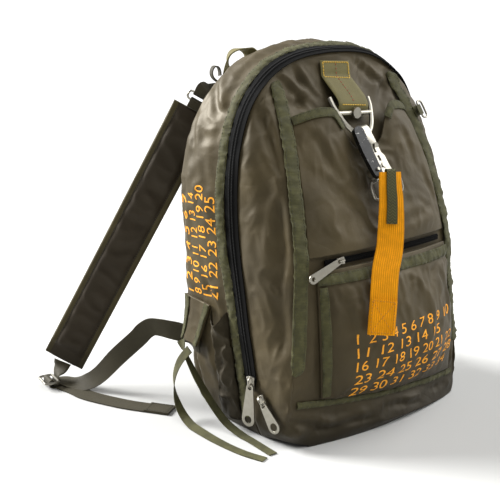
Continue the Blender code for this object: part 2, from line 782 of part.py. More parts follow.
# Hardware of the front hanger, in millimetres from the bag's own axes
RING_ROD = 2.4
RING_BAR = Vector((-4.5, -56.0, 371.0))
RING_APEX = Vector((-3.7, -74.0, 341.0))
RING_SHAPE = ((31, 17), (30, 8), (27, 0), (22.5, -10), (16, -18.5), (8.5, -24.5))
REAR_BAR_STEP = 7.0
HOOK_PIN = Vector((3.5, -99.0, 299.0))
HOOK_TURN = (0.99, -0.14, 0.0)       # the hook is turned a little off the front
HOOK_WIDTH_LOW = -3.5
HOOK_WIDTH_HIGH = 11.5
HEAD_HOLE = 4.9
HEAD_WALL = 3.0
EYE_HOLE = 2.7
BAIL_ROD = 2.0
PULL_TURN = (0.83, -0.55, -0.06)
BAIL_HALF = 23.0
BAIL_DROP = 22.0
BAIL_HANG = (0.0, -0.25, -0.97)      # the bail hangs nearly plumb from the hook's eye
LEVER_PIVOT = (-14.0, 9.5)
LEVER_BASE = 5.6
LEVER_THICK = 5.5
LEVER_PIN = 1.8

# Middle line of the stiff pull, which stands off the filled pocket
PullRow = namedtuple("PullRow", "across depth height")
PULL_LINE = (
    PullRow(across=-3.0, depth=-113.0, height=307.2),
    PullRow(across=-3.9, depth=-115.0, height=291.6),
    PullRow(across=-3.6, depth=-116.5, height=280.4),
    PullRow(across=-4.6, depth=-118.5, height=266.9),
    PullRow(across=-7.8, depth=-122.0, height=242.4),
    PullRow(across=-14.6, depth=-127.0, height=221.0),
    PullRow(across=-27.1, depth=-134.0, height=203.3),
    PullRow(across=-35.1, depth=-140.0, height=186.3),
    PullRow(across=-40.6, depth=-144.5, height=167.6),
    PullRow(across=-45.9, depth=-148.0, height=149.8),
    PullRow(across=-48.8, depth=-150.0, height=133.5),
)

# Left shoulder strap, which stands out behind the bag as in the photograph
ANCHOR_TURN = {-1: (0.35, 0.0, -0.94), 1: (-0.98, 0.0, 0.1)}
STRAP_SWING = {-1: (0.577, -0.516, -0.632), 1: (-0.4, -0.4, -0.8)}
# Points that each strap's webbing and its end pass through, from the wing to the buckle and on
StrapPoint = namedtuple("StrapPoint", "across depth height")
STRAP_ARC = {
    -1: (
        StrapPoint(across=-172, depth=98, height=100), StrapPoint(across=-184, depth=120, height=99),
        StrapPoint(across=-194, depth=138, height=80), StrapPoint(across=-209, depth=164, height=52),
        StrapPoint(across=-226, depth=188, height=22), StrapPoint(across=-239, depth=211, height=8),
    ),
    1: (
        StrapPoint(across=190, depth=98, height=98), StrapPoint(across=202, depth=120, height=88),
        StrapPoint(across=192, depth=138, height=58), StrapPoint(across=168, depth=130, height=26),
        StrapPoint(across=138, depth=110, height=8),
    ),
}
STRAP_TAIL = {
    -1: (
        StrapPoint(across=-250, depth=210, height=1.2), StrapPoint(across=-244, depth=178, height=1.2),
        StrapPoint(across=-221, depth=128, height=1.2), StrapPoint(across=-201, depth=97, height=1.2),
        StrapPoint(across=-184, depth=72, height=1.2),
    ),
    1: (
        StrapPoint(across=122, depth=112, height=1.2), StrapPoint(across=150, depth=120, height=1.2),
        StrapPoint(across=172, depth=142, height=1.2),
    ),
}
# Where each filled strap starts and ends, its sideways axis, its anchor on the bag, and its buckle
StrapPlace = namedtuple("StrapPlace", "top end across anchor buckle reach")
STRAP_PLACE = {
    -1: StrapPlace(
        top=(-119, 100, 378), end=(-250.5, 239.5, 35), across=(0.62, -0.50, -0.55),
        anchor=(-80, 88, 392), buckle=(-271, 245, 9.5), reach=(-0.97, 0.1, 0),
    ),
    1: StrapPlace(
        top=(92, 104, 372), end=(92, 124, 34), across=(-0.98, -0.2, 0),
        anchor=(84, 88, 406), buckle=(80, 140, 9.5), reach=(-0.5, 0.866, 0),
    ),
}
PAD_WIDTH = 56.0
PAD_THICK = 12.0
PAD_END_THICK = 0.4      # share of its thickness that a filled strap keeps at its sewn ends
PAD_END_SHARE = 0.16     # share of its length over which it thins


def hook_frame():
    """Axes of the snap hook: across (to the right), along (up to the ring), out (off the bag)."""
    along = (RING_APEX - HOOK_PIN).normalized()
    across = Vector(HOOK_TURN)
    across = (across - along * across.dot(along)).normalized()
    out = across.cross(along).normalized()
    if out.y > 0:
        out = -out
    return HOOK_PIN, across, along, out


def hook_point(across, along, out):
    """A place given in the hook's own axes."""
    origin, axis_a, axis_b, axis_c = hook_frame()
    return origin + axis_a * across + axis_b * along + axis_c * out


def bail_frame():
    """Axes of the bail: across, up towards its top bar, and out."""
    _, across, _, out = hook_frame()
    up = -Vector(BAIL_HANG)
    up = (up - across * up.dot(across)).normalized()
    face = across.cross(up).normalized()
    return HOOK_PIN, across, up, -face if face.dot(out) < 0 else face


def build_hanger(front):
    """Wide webbing that is sewn to the top of the front and folds round the ring's rear bar."""
    path = []
    for height in (430, 421, 412):
        spot, normal = on_front(front, -2, height)
        path.append(spot + normal * (LAY_GAP + 0.8 + WEBBING_THICK / 2))
    rear = RING_BAR + Vector((0, REAR_BAR_STEP, 0))
    turn = 1.8 + 0.5 + WEBBING_THICK / 2
    path.append(Vector((-4, rear.y - turn, rear.z + 14)))
    path.append(Vector((-4.5, rear.y - turn, rear.z)))
    path = smooth_path(path, 9.0)
    for degrees in (45, 90, 135, 180):
        angle = math.radians(degrees)
        path.append(Vector((-4.5, rear.y - turn * math.cos(angle), rear.z - turn * math.sin(angle))))
    path.append(Vector((-4.5, rear.y + turn, rear.z + 9)))
    ribbon("hanger_webbing", path, (1, 0, 0), HANGER_WIDTH, WEBBING_THICK, OLIVE_TAPE, smooth=False)


def build_ring():
    """Horned V ring with its knobbed front bar and the rear bar that the webbing turns round."""
    slope = (RING_APEX.y - RING_BAR.y) / (RING_APEX.z - RING_BAR.z)
    left = [
        Vector((RING_BAR.x - half, RING_BAR.y + slope * rise, RING_BAR.z + rise)) for half, rise in RING_SHAPE
    ]
    right = [Vector((2 * RING_BAR.x - point.x, point.y, point.z)) for point in reversed(left)]
    low = [RING_APEX + Vector((-4.5, 0, 0)), RING_APEX + Vector((4.5, 0, 0))]
    ring = rod("v_ring", left + low + right, RING_ROD, NICKEL, spacing=5.0)
    bar = rod("ring_bar_tool", [RING_BAR - Vector((27, 0, 0)), RING_BAR + Vector((27, 0, 0))], 2.3, NICKEL, spacing=9)
    knob = plate(
        "ring_knob_tool", circle(0, 0, 6.2, 14), 3.6,
        (RING_BAR + Vector((0, -1.2, 0)), Vector((1, 0, 0)), Vector((0, 0, 1)), Vector((0, -1, 0))), NICKEL,
    )
    step = Vector((0, REAR_BAR_STEP, 0))
    reach = 26.8
    corners = [
        RING_BAR - Vector((reach, 0, 0)), RING_BAR - Vector((reach, 0, 0)) + step * 0.8,
        RING_BAR + step - Vector((reach - 2, 0, 0)), RING_BAR + step + Vector((reach - 2, 0, 0)),
        RING_BAR + Vector((reach, 0, 0)) + step * 0.8, RING_BAR + Vector((reach, 0, 0)),
    ]
    rear = rod("ring_rear_tool", corners, 1.8, NICKEL, smooth=False)
    for tool in (bar, knob, rear):
        combine(ring, tool, "UNION")


def build_hook():
    """Snap hook: body with its slotted head, black lever on its pin, and the wire bail below."""
    origin, across, along, out = hook_frame()
    reach = (RING_APEX - HOOK_PIN).length
    head = HEAD_HOLE + HEAD_WALL
    head_low = reach - HEAD_HOLE - 4
    head_top = reach + 10.0 + head
    profile = circle(0, -1.0, 5.6, 8, 180, 180) + [(4.4, 12.0), (4.4, head_low - 5), (head, head_low)]
    profile += circle(0, head_top - head, head, 8, 0, 180)
    profile += [(-head, head_low), (-4.4, head_low - 5), (-4.4, 12.0)]
    side_frame = (origin + across * HOOK_WIDTH_LOW, out, along, across)
    body = plate("hook_body", profile, HOOK_WIDTH_HIGH - HOOK_WIDTH_LOW, side_frame, NICKEL)
    trim = [(-4, 80), (4.6, 80), (6, 60), (6, 41), (9, 38), (9, 28), (11.5, 24), (11.5, 3), (7, -9), (-4, -9)]
    trim_frame = (origin - out * 12, across, along, out)
    outline_tool = plate("hook_outline_tool", trim, 24, trim_frame, NICKEL)
    combine(body, outline_tool, "INTERSECT")
    ear = [(-3.0, 3.2), (-3.0, 19.0)] + circle(LEVER_PIVOT[0], LEVER_PIVOT[1], 5.6, 8, 100, 180)
    ear_frame = (origin - out * 2.2, across, along, out)
    ear_tool = plate("hook_ear_tool", ear, 2.2 + LEVER_BASE - 0.4, ear_frame, NICKEL)
    combine(body, ear_tool, "UNION")
    pin_tool = plate(
        "hook_pin_tool", circle(LEVER_PIVOT[0], LEVER_PIVOT[1], LEVER_PIN, 16), 4.0 + LEVER_THICK + LEVER_BASE,
        (origin - out * 1.4, across, along, out), NICKEL,
    )
    combine(body, pin_tool, "UNION")
    slot = circle(0, reach + 9.6, HEAD_HOLE, 6, 0, 180) + circle(0, reach + 1.0, HEAD_HOLE, 6, 180, 180)
    slot_tool = plate("hook_slot_tool", slot, 30, (origin - across * 14, out, along, across), NICKEL)
    combine(body, slot_tool, "DIFFERENCE")
    eye_tool = plate(
        "hook_eye_tool", circle(0, 0, EYE_HOLE, 12), 34, (origin - across * 16, out, along, across), NICKEL,
    )
    combine(body, eye_tool, "DIFFERENCE")
    for name, low, high, start in (("hook_groove_tool_1", 30, 40, 0.0), ("hook_groove_tool_2", 19, 26, 1.0)):
        groove = [(start - 0.5, low), (start + 3.0, low), (start + 3.0, high), (start - 0.5, high)]
        tool = plate(name, groove, 6, (origin + out * 2.6, across, along, out), NICKEL)
        combine(body, tool, "DIFFERENCE")
    rivet = plate(
        "hook_rivet_tool", circle(4.5, 13.5, 3.6, 14), 3.2, (origin + out * 2.4, across, along, out), NICKEL,
    )
    combine(body, rivet, "UNION")

    pivot = hook_point(LEVER_PIVOT[0], LEVER_PIVOT[1], 0)
    lever_shape = [(-21.5, 12), (-22, 34), (-20.5, 50)]
    lever_shape += circle(-12.6, reach + 8.0, 7.2, 8, 168, -190)
    lever_shape += [(-6.4, 44), (-7.2, 26), (-8.0, 12), (-8.8, 2)]
    lever_shape += circle(LEVER_PIVOT[0] - 1, LEVER_PIVOT[1] - 2.5, 6.4, 6, -35, -120)
    lever = plate(
        "hook_lever", lever_shape, LEVER_THICK, (origin + out * LEVER_BASE, across, along, out), BLACK_STEEL,
        0.4, 0.6, origin=pivot,
    )
    hole = plate(
        "lever_hole_tool", circle(LEVER_PIVOT[0], LEVER_PIVOT[1], LEVER_PIN + 0.1, 16), 12,
        (origin + out * (LEVER_BASE - 3), across, along, out), NICKEL,
    )
    combine(lever, hole, "DIFFERENCE")

    corner = 6.0
    shape = []
    for centre_a, centre_b, start in (
        (BAIL_HALF - corner, -corner, 90), (BAIL_HALF - corner, -BAIL_DROP + corner, 0),
        (-BAIL_HALF + corner, -BAIL_DROP + corner, -90), (-BAIL_HALF + corner, -corner, -180),
    ):
        shape += circle(centre_a, centre_b, corner, 4, start, -90)
    origin, across, up, _ = bail_frame()
    points = [origin + across * a + up * b for a, b in shape]
    rod("hook_bail", points, BAIL_ROD, NICKEL, closed=True, smooth=False)


def build_pull():
    """Orange pull tab and the olive keeper that ties it to the bail."""
    route = smooth_path([Vector(row) for row in PULL_LINE], 10.0)
    first = Vector(HOOK_TURN)
    last = Vector(PULL_TURN)
    sides = [first.lerp(last, min(1.0, i / 7)) for i in range(len(route))]
    outs = faces_of(route, sides)
    ribbon("pull_webbing", route, sides, PULL_WIDTH, 1.8, ORANGE_WEBBING, smooth=False)
    tab = [point + out * 2.0 for point, out in zip(route[-5:], outs[-5:])]
    ribbon("pull_tab_end", tab, sides[-5:], PULL_WIDTH - 0.6, 1.2, ORANGE_WEBBING, smooth=False)
    origin, across, along, out = bail_frame()
    top = route[0]
    up = (route[0] - route[1]).normalized()
    face = outs[0]
    keeper = [route[i] + outs[i] * 2.3 for i in range(6, 0, -1)]
    keeper += [top + face * 2.3, top + face * 1.7 + up * 2.2, top + up * 3.0, top - face * 1.7 + up * 2.2]
    keeper_sides = sides[6:0:-1] + [sides[0]] * 4
    keeper.append(top - face * 2.6 - up * 2.0)
    bar = origin + across * (top - origin).dot(across) - along * BAIL_DROP
    turn_radius = BAIL_ROD + 0.5 + 0.6
    for degrees in (10, 55, 100, 145, 180):
        angle = math.radians(degrees)
        keeper.append(bar + out * turn_radius * math.cos(angle) - along * turn_radius * math.sin(angle))
    keeper.append(bar + along * 9 - out * (turn_radius + 0.2))
    keeper_sides += [across] * 7
    ribbon("keeper_webbing", keeper, keeper_sides, KEEPER_WIDTH, 1.2, OLIVE_TAPE, smooth=False)


def build_slider(name, seat, along, out, pull_end, pull_width, hole, scale=1.0):
    """Zip slider on its coil, and the long flat pull that hangs from its arch."""
    along = along.normalized()
    out = (out - along * out.dot(along)).normalized()
    across = along.cross(out).normalized()
    shell = [(-4.6, -5.0), (-3.2, -7.2), (3.2, -7.2), (4.6, -5.0), (4.6, 2.0), (5.4, 7.0), (1.2, 8.4),
             (-1.2, 8.4), (-5.4, 7.0), (-4.6, 2.0)]
    shell = [(a * scale, b * scale) for a, b in shell]
    frame = (seat, across, along, out)
    slider = plate(name + "_slider", shell, 2.6 * scale, frame, NICKEL)
    rise = 2.4 * scale
    arch = [seat + along * (7.0 * scale) + out * rise * 0.6, seat + along * (6.0 * scale) + out * rise * 2.3,
            seat + along * (1.0 * scale) + out * rise * 3.0, seat - along * (4.0 * scale) + out * rise * 2.3,
            seat - along * (5.2 * scale) + out * rise * 0.6]
    arch_tool = rod(name + "_arch_tool", arch, 0.95 * scale, NICKEL, spacing=2.6, sides=6)
    combine(slider, arch_tool, "UNION")
    start = seat - along * (4.8 * scale) + out * (2.6 * scale + 0.6)
    run = pull_end - start
    run -= out * run.dot(out)
    length = run.length
    run.normalize()
    beside = out.cross(run).normalized()
    face = out
    small = 4.6 * scale
    large = pull_width / 2
    tongue = circle(0, 0, small, 8, 180, 180)
    tongue += circle(0, length - large, large, 8, 0, 180)
    pull = plate(name + "_pull", tongue, 1.3, (start, beside, run, face), NICKEL)
    for index, (position, radius) in enumerate(((0.0, 2.8 * scale), (length - large, hole))):
        tool = plate(
            "%s_hole_tool_%d" % (name, index), circle(0, position, radius, 12), 6,
            (start - face * 2, beside, run, face), NICKEL,
        )
        combine(pull, tool, "DIFFERENCE")


def build_sliders(body, pocket_zip):
    """Two sliders meet low on the left of the main zip; one is at the left of the pocket zip."""
    spot, normal, _, _ = body.find_nearest(slump((-146, -47, 71)))
    seat = spot + normal * (LAY_GAP + TAPE_THICK + 2.2)
    build_slider("upper", seat, Vector((0.0, 0.05, 1)), Vector((-0.94, -0.33, 0)), Vector((-152.5, -46, 17)), 17.0, 4.8)
    spot, normal, _, _ = body.find_nearest(slump((-144, -66, 53)))
    seat = spot + normal * (LAY_GAP + 2.2)
    build_slider("lower", seat, Vector((-0.1, 0.62, 0.75)), Vector((-0.96, -0.26, 0)), Vector((-149.5, -91, 22)),
                 16.0, 4.8)
    spot, normal, _, _ = pocket_zip.find_nearest(Vector((-70, -104, 212)))
    seat = spot + normal * 1.0
    build_slider("pocket", seat, Vector((1, 0, 0.05)), normal, Vector((-119, -114, 198)), 11.0, 2.6, 0.8)


def build_side(side, body, name):
    """Bound wing that carries the strap, and the open crumpled pocket in front of it."""
    rows = 6
    columns = 5
    seats, lifts, thicks = [], [], []
    for r in range(rows):
        drop = r / (rows - 1)
        seat_row, lift_row = [], []
        for c in range(columns):
            front_share = c / (columns - 1)
            back_edge = 63 + 10 * drop
            front_edge = 19 + 16 * drop
            depth = back_edge + (front_edge - back_edge) * front_share
            height = 154 - 58 * drop - 6 * front_share * (1 - drop)
            seat_row.append(on_side(body, side, depth, height))
            lift_row.append(LAY_GAP + 0.7 + 9.0 * drop * drop)
        seats.append(seat_row)
        lifts.append(lift_row)
        thicks.append([2.4] * columns)
    cloth_patch("side_wing_" + name, rows, seats, lifts, thicks, OLIVE_NYLON)
    for edge, inner, outer in (("back", 0.03, 0.75), ("front", 3.25, 3.97)):
        lines = [[(r, c) for r in range(rows)] for c in (inner, outer)]
        edge_strip("wing_binding_%s_%s" % (edge, name), seats, lifts, thicks, lines)
    rows, columns = 8, 9
    seats, lifts, thicks = [], [], []
    for r in range(rows):
        drop = r / (rows - 1)
        seat_row, lift_row = [], []
        for c in range(columns):
            share = c / (columns - 1)
            sag = 16 * math.sin(math.pi * share)
            height = 146 - sag + (16 - 146 + sag) * drop
            back_edge = 13 - 4 * drop
            depth = back_edge + (zip_depth(height) + 21.5 - back_edge) * share
            seat_row.append(on_side(body, side, depth, height))
            crumple = 1 + 0.35 * math.sin(share * 9 + drop * 14) * drop
            stand = 13 * math.sin(math.pi * share) ** 0.7 * (1 - 0.62 * drop) * crumple
            lift_row.append(LAY_GAP + 0.3 + stand)
        seats.append(seat_row)
        lifts.append(lift_row)
        thicks.append([1.2] * columns)
    cloth_patch("side_pocket_" + name, rows, seats, lifts, thicks, OLIVE_NYLON)


def build_ties():
    """Four flat ties: the left pair falls to the floor in front, the right pair close to its side."""
    for name, route in TIES.items():
        first = Vector((0, 0.75, 0.66)) if name.endswith("bowed") else Vector((0, 0.7, 0.7))
        last = Vector((1, 0, 0))
        ribbon(
            "tie_" + name, route, lambda share: first.lerp(last, min(1.0, share * 1.25)), TIE_WIDTH, 1.0,
            OLIVE_TAPE, spacing=9.0,
        )


def wire_ring(name, centre, axis_long, axis_short, half_long, half_short, radius, corner):
    """Rounded rectangular wire ring."""
    points = []
    for sign_long, sign_short, start in ((1, 1, 90), (1, -1, 0), (-1, -1, -90), (-1, 1, -180)):
        centre_long = sign_long * (half_long - corner)
        centre_short = sign_short * (half_short - corner)
        for a, b in circle(centre_long, centre_short, corner, 3, start, -90):
            points.append(centre + axis_long * a + axis_short * b)
    return rod(name, points, radius, NICKEL, closed=True, smooth=False, sides=7)


def around(bar, forward, up, turn, first, last, steps=4):
    """Points on a turn round a bar, by angle in degrees from forward towards up."""
    points = []
    for k in range(steps + 1):
        angle = math.radians(first + (last - first) * k / steps)
        points.append(bar + forward * turn * math.cos(angle) + up * turn * math.sin(angle))
    return points


def blend_sides(count, *sides):
    """One sideways direction for each of count points, blended evenly through the given ones."""
    made = []
    for i in range(count):
        place_on = i / (count - 1) * (len(sides) - 1)
        index = min(int(place_on), len(sides) - 2)
        made.append(Vector(sides[index]).lerp(Vector(sides[index + 1]), place_on - index))
    return made


def build_strap(name, body, side):
    """Shoulder strap: anchor, oblong ring, filled pad, buckle, and the webbing from the wing."""
    top, end, across, anchor, buckle, reach = [Vector(value) for value in STRAP_PLACE[side]]
    arc = [Vector(point) for point in STRAP_ARC[side]]
    tail = [Vector(point) for point in STRAP_TAIL[side]]
    reach.normalize()
    axis = (end - top).normalized()
    across = (across - axis * across.dot(axis)).normalized()
    out = across.cross(axis).normalized()
    if out.z < 0:
        out = -out
    centre = top - axis * 7.0
    wire_ring("anchor_ring_" + name, centre, across, axis, 16.5, 5.2, 1.6, 4.0)
    turn = 1.6 + 0.5 + WEBBING_THICK / 2
    bar = centre - axis * 5.2
    path = [bar - axis * 11 + out * turn] + around(bar, axis, out, turn, 90, -90)
    path += smooth_path([bar - axis * 9 - out * turn, bar.lerp(anchor, 0.6) - axis * 4, anchor], 9.0)
    sides = blend_sides(len(path), across, across, across, ANCHOR_TURN[side])
    ribbon("anchor_webbing_" + name, path, sides, 22.0, WEBBING_THICK, DARK_WEBBING, smooth=False)
    bar = centre + axis * 5.2
    path = [bar + axis * 9 + out * turn] + around(bar, -axis, out, turn, 90, -90) + [bar + axis * 9 - out * turn]
    ribbon("pad_top_loop_" + name, path, across, 22.0, WEBBING_THICK, DARK_WEBBING, smooth=False)
    start = bar + axis * 9.8
    path = [start, start.lerp(end, 0.3) + out * 4.0, start.lerp(end, 0.62) + out * 6.0, end]
    ribbon("shoulder_pad_" + name, path, across, PAD_WIDTH, PAD_THICK, PAD_NYLON, spacing=21.0, crown=True)

    # The buckle lies on the floor: reach points from the pad side to its far bar
    up = Vector((0, 0, 1))
    beside = up.cross(reach).normalized()
    if beside.dot(across) < 0:
        beside = -beside
    frame = wire_ring("buckle_" + name, buckle, beside, reach, 16.0, 9.0, 1.7, 3.5)
    middle = rod("buckle_bar_tool_" + name, [buckle - beside * 15.5, buckle + beside * 15.5], 1.5, NICKEL, spacing=16)
    combine(frame, middle, "UNION")
    near = buckle - reach * 9.0
    turn = 1.7 + 0.4 + 0.6
    path = smooth_path([end + axis * 3.2, end.lerp(near, 0.5) + axis * 3, near - reach * turn * 0.8 + up * 8], 8.0)
    sides = blend_sides(len(path), across, beside)
    path += around(near, -reach, up, turn, 35, -100)
    sides += [beside] * 5
    ribbon("buckle_loop_" + name, path, sides, STRAP_WIDTH - 1, 1.2, DARK_WEBBING, smooth=False)

    seats = []
    for depth in (40, 58, 75):
        spot, normal = on_side(body, side, depth, 95)
        seats.append(spot + Vector((side, 0, 0)) * 4.9)
    under = buckle - up * 4.9
    route = smooth_path(seats + arc + [under - reach * 18], 13.0) + [under - reach * 9, under - reach * 4.6]
    lap = around(buckle, -reach, up, 1.5 + 0.4 + WEBBING_THICK / 2, -25, 180, 6)
    low = buckle.z - 1.2
    under_far = [buckle + reach * 2.3 - up * (low - 2.4), buckle - reach * 2 - up * low]
    line = smooth_path([buckle - reach * 12 - up * low] + tail, 15.0)
    sides = blend_sides(len(route) - 3, (0, -0.1, -1), STRAP_SWING[side], beside) + [beside] * 3
    sides += [beside] * (len(lap) + len(under_far))
    flat = (line[-1] - line[-4]).cross(up).normalized()
    if flat.dot(beside) < 0:
        flat = -flat
    sides += blend_sides(len(line), beside, flat, flat)
    ribbon("strap_webbing_" + name, route + lap + under_far + line, sides, STRAP_WIDTH, WEBBING_THICK,
           DARK_WEBBING, smooth=False)


def build_top_loops():
    """Carrying handle on the top seam, the small loop beside it, and the ring at the right front edge."""
    path = [(-80, 88.8, 410), (-80, 90, 424), (-76, 92, 436), (-66, 93, 444), (-54, 93, 445.5), (-44, 91, 441),
            (-40, 89.8, 431), (-38, 88.8, 419)]
    sides = ((0.99, 0.12, 0), (0.6, 0.8, 0), (0, 1, 0), (-0.6, 0.8, 0), (-0.99, 0.12, 0))
    path = smooth_path(path, 6.0)
    ribbon("carry_handle", path, blend_sides(len(path), *sides), 20.0, WEBBING_THICK, OLIVE_TAPE, smooth=False)
    path = [(-99, 86, 406), (-105, 88.5, 412), (-104, 89.5, 421), (-98.5, 89.5, 424.5), (-94, 89, 421), (-93.5, 88, 413)]
    ribbon("hang_loop", path, (0.1, 1, 0.1), 7.0, 1.4, DARK_WEBBING, spacing=6.0)
    long_axis = Vector((0.21, -0.41, -0.885)).normalized()
    short_axis = Vector((0.93, 0.25, 0.10))
    short_axis = (short_axis - long_axis * short_axis.dot(long_axis)).normalized()
    centre = Vector((125.5, -47.5, 371.5))
    wire_ring("side_ring", centre, long_axis, short_axis, 11.5, 6.5, 1.5, 5.0)
    bar = centre - short_axis * 6.5
    face = long_axis.cross(short_axis).normalized()
    turn = 1.5 + 0.4 + 0.6
    path = [bar - short_axis * 10 + face * turn] + around(bar, short_axis, face, turn, 90, -90)
    path += [bar - short_axis * 10 - face * turn]
    ribbon("side_ring_loop", path, long_axis, 13.0, 1.2, OLIVE_TAPE, smooth=False)


def main():
    clear_scene()
    rear, front = build_body()
    body = ground_of(rear, front)
    build_main_zip(body)
    build_front_tapes(body)
    pocket_zip = build_front_pocket(ground_of(front), (rear, front))
    build_slip_pocket(ground_of(front))
    build_hanger(ground_of(front))
    build_ring()
    build_hook()
    build_pull()
    build_sliders(body, ground_of(pocket_zip))
    build_side(-1, body, "left")
    build_side(1, body, "right")
    build_ties()
    build_strap("left", body, -1)
    build_strap("right", body, 1)
    build_top_loops()


main()
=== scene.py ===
"""Looks of a stuffed nylon daypack, dressed over its packed construction solids.

Each cloth piece is a finer mesh on its solid's own folds, with creases, puckers, thread and zip
coils in real sizes.  Run it as a script in Blender 4.5; lengths are metres unless named in mm.
"""

import math
from collections import namedtuple

import bmesh
import bpy
import numpy as np
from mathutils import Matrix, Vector, noise
from mathutils.bvhtree import BVHTree


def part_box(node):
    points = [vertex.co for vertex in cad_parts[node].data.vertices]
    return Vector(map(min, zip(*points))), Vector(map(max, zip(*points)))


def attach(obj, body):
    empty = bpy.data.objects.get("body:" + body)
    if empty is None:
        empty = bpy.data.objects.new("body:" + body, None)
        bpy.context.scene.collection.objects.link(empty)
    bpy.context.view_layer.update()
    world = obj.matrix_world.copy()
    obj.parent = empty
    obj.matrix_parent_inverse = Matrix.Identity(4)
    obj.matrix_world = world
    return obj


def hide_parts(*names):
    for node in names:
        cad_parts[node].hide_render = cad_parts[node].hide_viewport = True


bl_info = {
    "name": "Nylon Daypack Looks",
    "version": (1, 0, 0),
    "blender": (4, 5, 0),
    "location": "View3D > Sidebar > Daypack",
    "description": "Dresses the daypack in creased nylon, taped seams, webbing and nickel hardware",
    "category": "Object",
}

MM = 0.001

# Distance between stitches, a tape's rows of stitches as a share of half its width, a zip coil's height over
# its tape, and the least height of a strip over the floor
STITCH_PITCH = 3.6 * MM
TAPE_SEAM = 0.72
COIL_LIFT = 0.7 * MM
FLOOR_CLEAR = 0.05 * MM

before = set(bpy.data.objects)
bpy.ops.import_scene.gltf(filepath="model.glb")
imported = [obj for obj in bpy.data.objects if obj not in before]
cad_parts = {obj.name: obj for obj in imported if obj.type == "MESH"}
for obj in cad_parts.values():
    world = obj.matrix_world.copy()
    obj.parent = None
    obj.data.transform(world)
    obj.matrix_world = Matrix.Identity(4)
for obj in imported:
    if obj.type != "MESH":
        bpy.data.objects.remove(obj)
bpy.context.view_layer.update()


def to_linear(code):
    """Linear red, green and blue of an sRGB hex colour."""
    values = [int(code[i:i + 2], 16) / 255 for i in (1, 3, 5)]
    return tuple(v / 12.92 if v <= 0.04045 else ((v + 0.055) / 1.055) ** 2.4 for v in values)


def colour_property(name, description, code):
    """A colour to set, with an sRGB hex default."""
    return bpy.props.FloatVectorProperty(
        name=name, description=description, subtype="COLOR", size=3, min=0.0, max=1.0,
        default=to_linear(code),
    )


def length_property(name, description, mm):
    """A length to set, with its default in millimetres."""
    return bpy.props.FloatProperty(
        name=name, description=description, default=mm * MM, min=0.0, unit="LENGTH",
    )


class DaypackCloth(bpy.types.PropertyGroup):
    """Nylon of the bag, its pockets and its shoulder straps."""

    nylon: colour_property("Nylon", "Lit colour of the woven nylon", "#433A26")
    nylon_shade: colour_property("Nylon in folds", "Colour of the nylon where it is folded", "#332C1D")
    pad: colour_property("Strap nylon", "Colour of the nylon on the filled straps", "#211A13")
    print_ink: colour_property("Print", "Colour of the screen-printed numbers", "#EFA22C")
    crumple_depth: length_property("Crumple depth", "Height of the soft crumples in the nylon", 3.2)
    crumple_size: length_property("Crumple size", "Distance between the soft crumples", 62.0)
    crinkle_depth: length_property("Crinkle depth", "Height of the small creases", 1.1)
    crinkle_size: length_property("Crinkle size", "Distance between the small creases", 19.0)
    pucker_depth: length_property("Pucker depth", "Height of the gathers beside a seam", 0.8)


class DaypackTrim(bpy.types.PropertyGroup):
    """Bought tapes, webbings, thread and zips."""

    tape: colour_property("Binding tape", "Colour of the woven olive tape", "#504E2C")
    webbing: colour_property("Olive webbing", "Colour of the hanger and handle webbing", "#6F6739")
    strap: colour_property("Strap webbing", "Colour of the dark strap webbing", "#38321C")
    pull: colour_property("Pull webbing", "Colour of the orange pull", "#FCA60E")
    gold_thread: colour_property("Gold thread", "Thread on the hanger", "#E6B83A")
    red_thread: colour_property("Red thread", "Dashed centre thread of the hanger", "#A8442A")
    dark_thread: colour_property("Dark thread", "Thread on the seams", "#2A281A")
    zip_black: colour_property("Zip", "Colour of the zip's tape and coil", "#090908")
    stitch: length_property("Stitch length", "Length of one visible stitch", 2.6)
    tooth: length_property("Coil pitch", "Distance between two turns of the zip's coil", 1.7)


class DaypackMetal(bpy.types.PropertyGroup):
    """Hook, rings, buckles and sliders."""

    nickel: colour_property("Nickel", "Reflection colour of the nickel plate", "#A09C91")
    black: colour_property("Lever", "Colour of the black coated lever", "#0D0D0C")
    edge: length_property("Edge radius", "Rounding of the cast edges", 0.45)


class DaypackStage(bpy.types.PropertyGroup):
    """Camera, light and floor."""

    azimuth: bpy.props.FloatProperty(name="Azimuth", description="Camera's turn to the left", default=-38.0)
    pitch: bpy.props.FloatProperty(name="Pitch", description="Camera's tilt down", default=12.8)
    lens: bpy.props.FloatProperty(name="Lens", description="Focal length in mm", default=55.8)
    floor: colour_property("Floor", "Colour of the floor", "#B4B4B2")


SETTINGS = {
    "daypack_cloth": DaypackCloth,
    "daypack_trim": DaypackTrim,
    "daypack_metal": DaypackMetal,
    "daypack_stage": DaypackStage,
}


def cloth():
    return bpy.context.scene.daypack_cloth


def trim():
    return bpy.context.scene.daypack_trim


def metal():
    return bpy.context.scene.daypack_metal


# Materials

def per_mm(size):
    """Noise scale for a feature of that size in millimetres."""
    return 1000.0 / size


def bands_mm(pitch):
    """Wave texture scale for bands of that pitch in millimetres."""
    return math.pi / 10 * 1000.0 / pitch


def add(tree, kind, values=None, links=None, **settings):
    """Add one shader node with its settings, socket values and incoming links."""
    node = tree.nodes.new(kind)
    for key, value in settings.items():
        setattr(node, key, value)
    for socket, value in (values or {}).items():
        node.inputs[socket].default_value = value
    for socket, source in (links or {}).items():
        tree.links.new(source, node.inputs[socket])
    return node


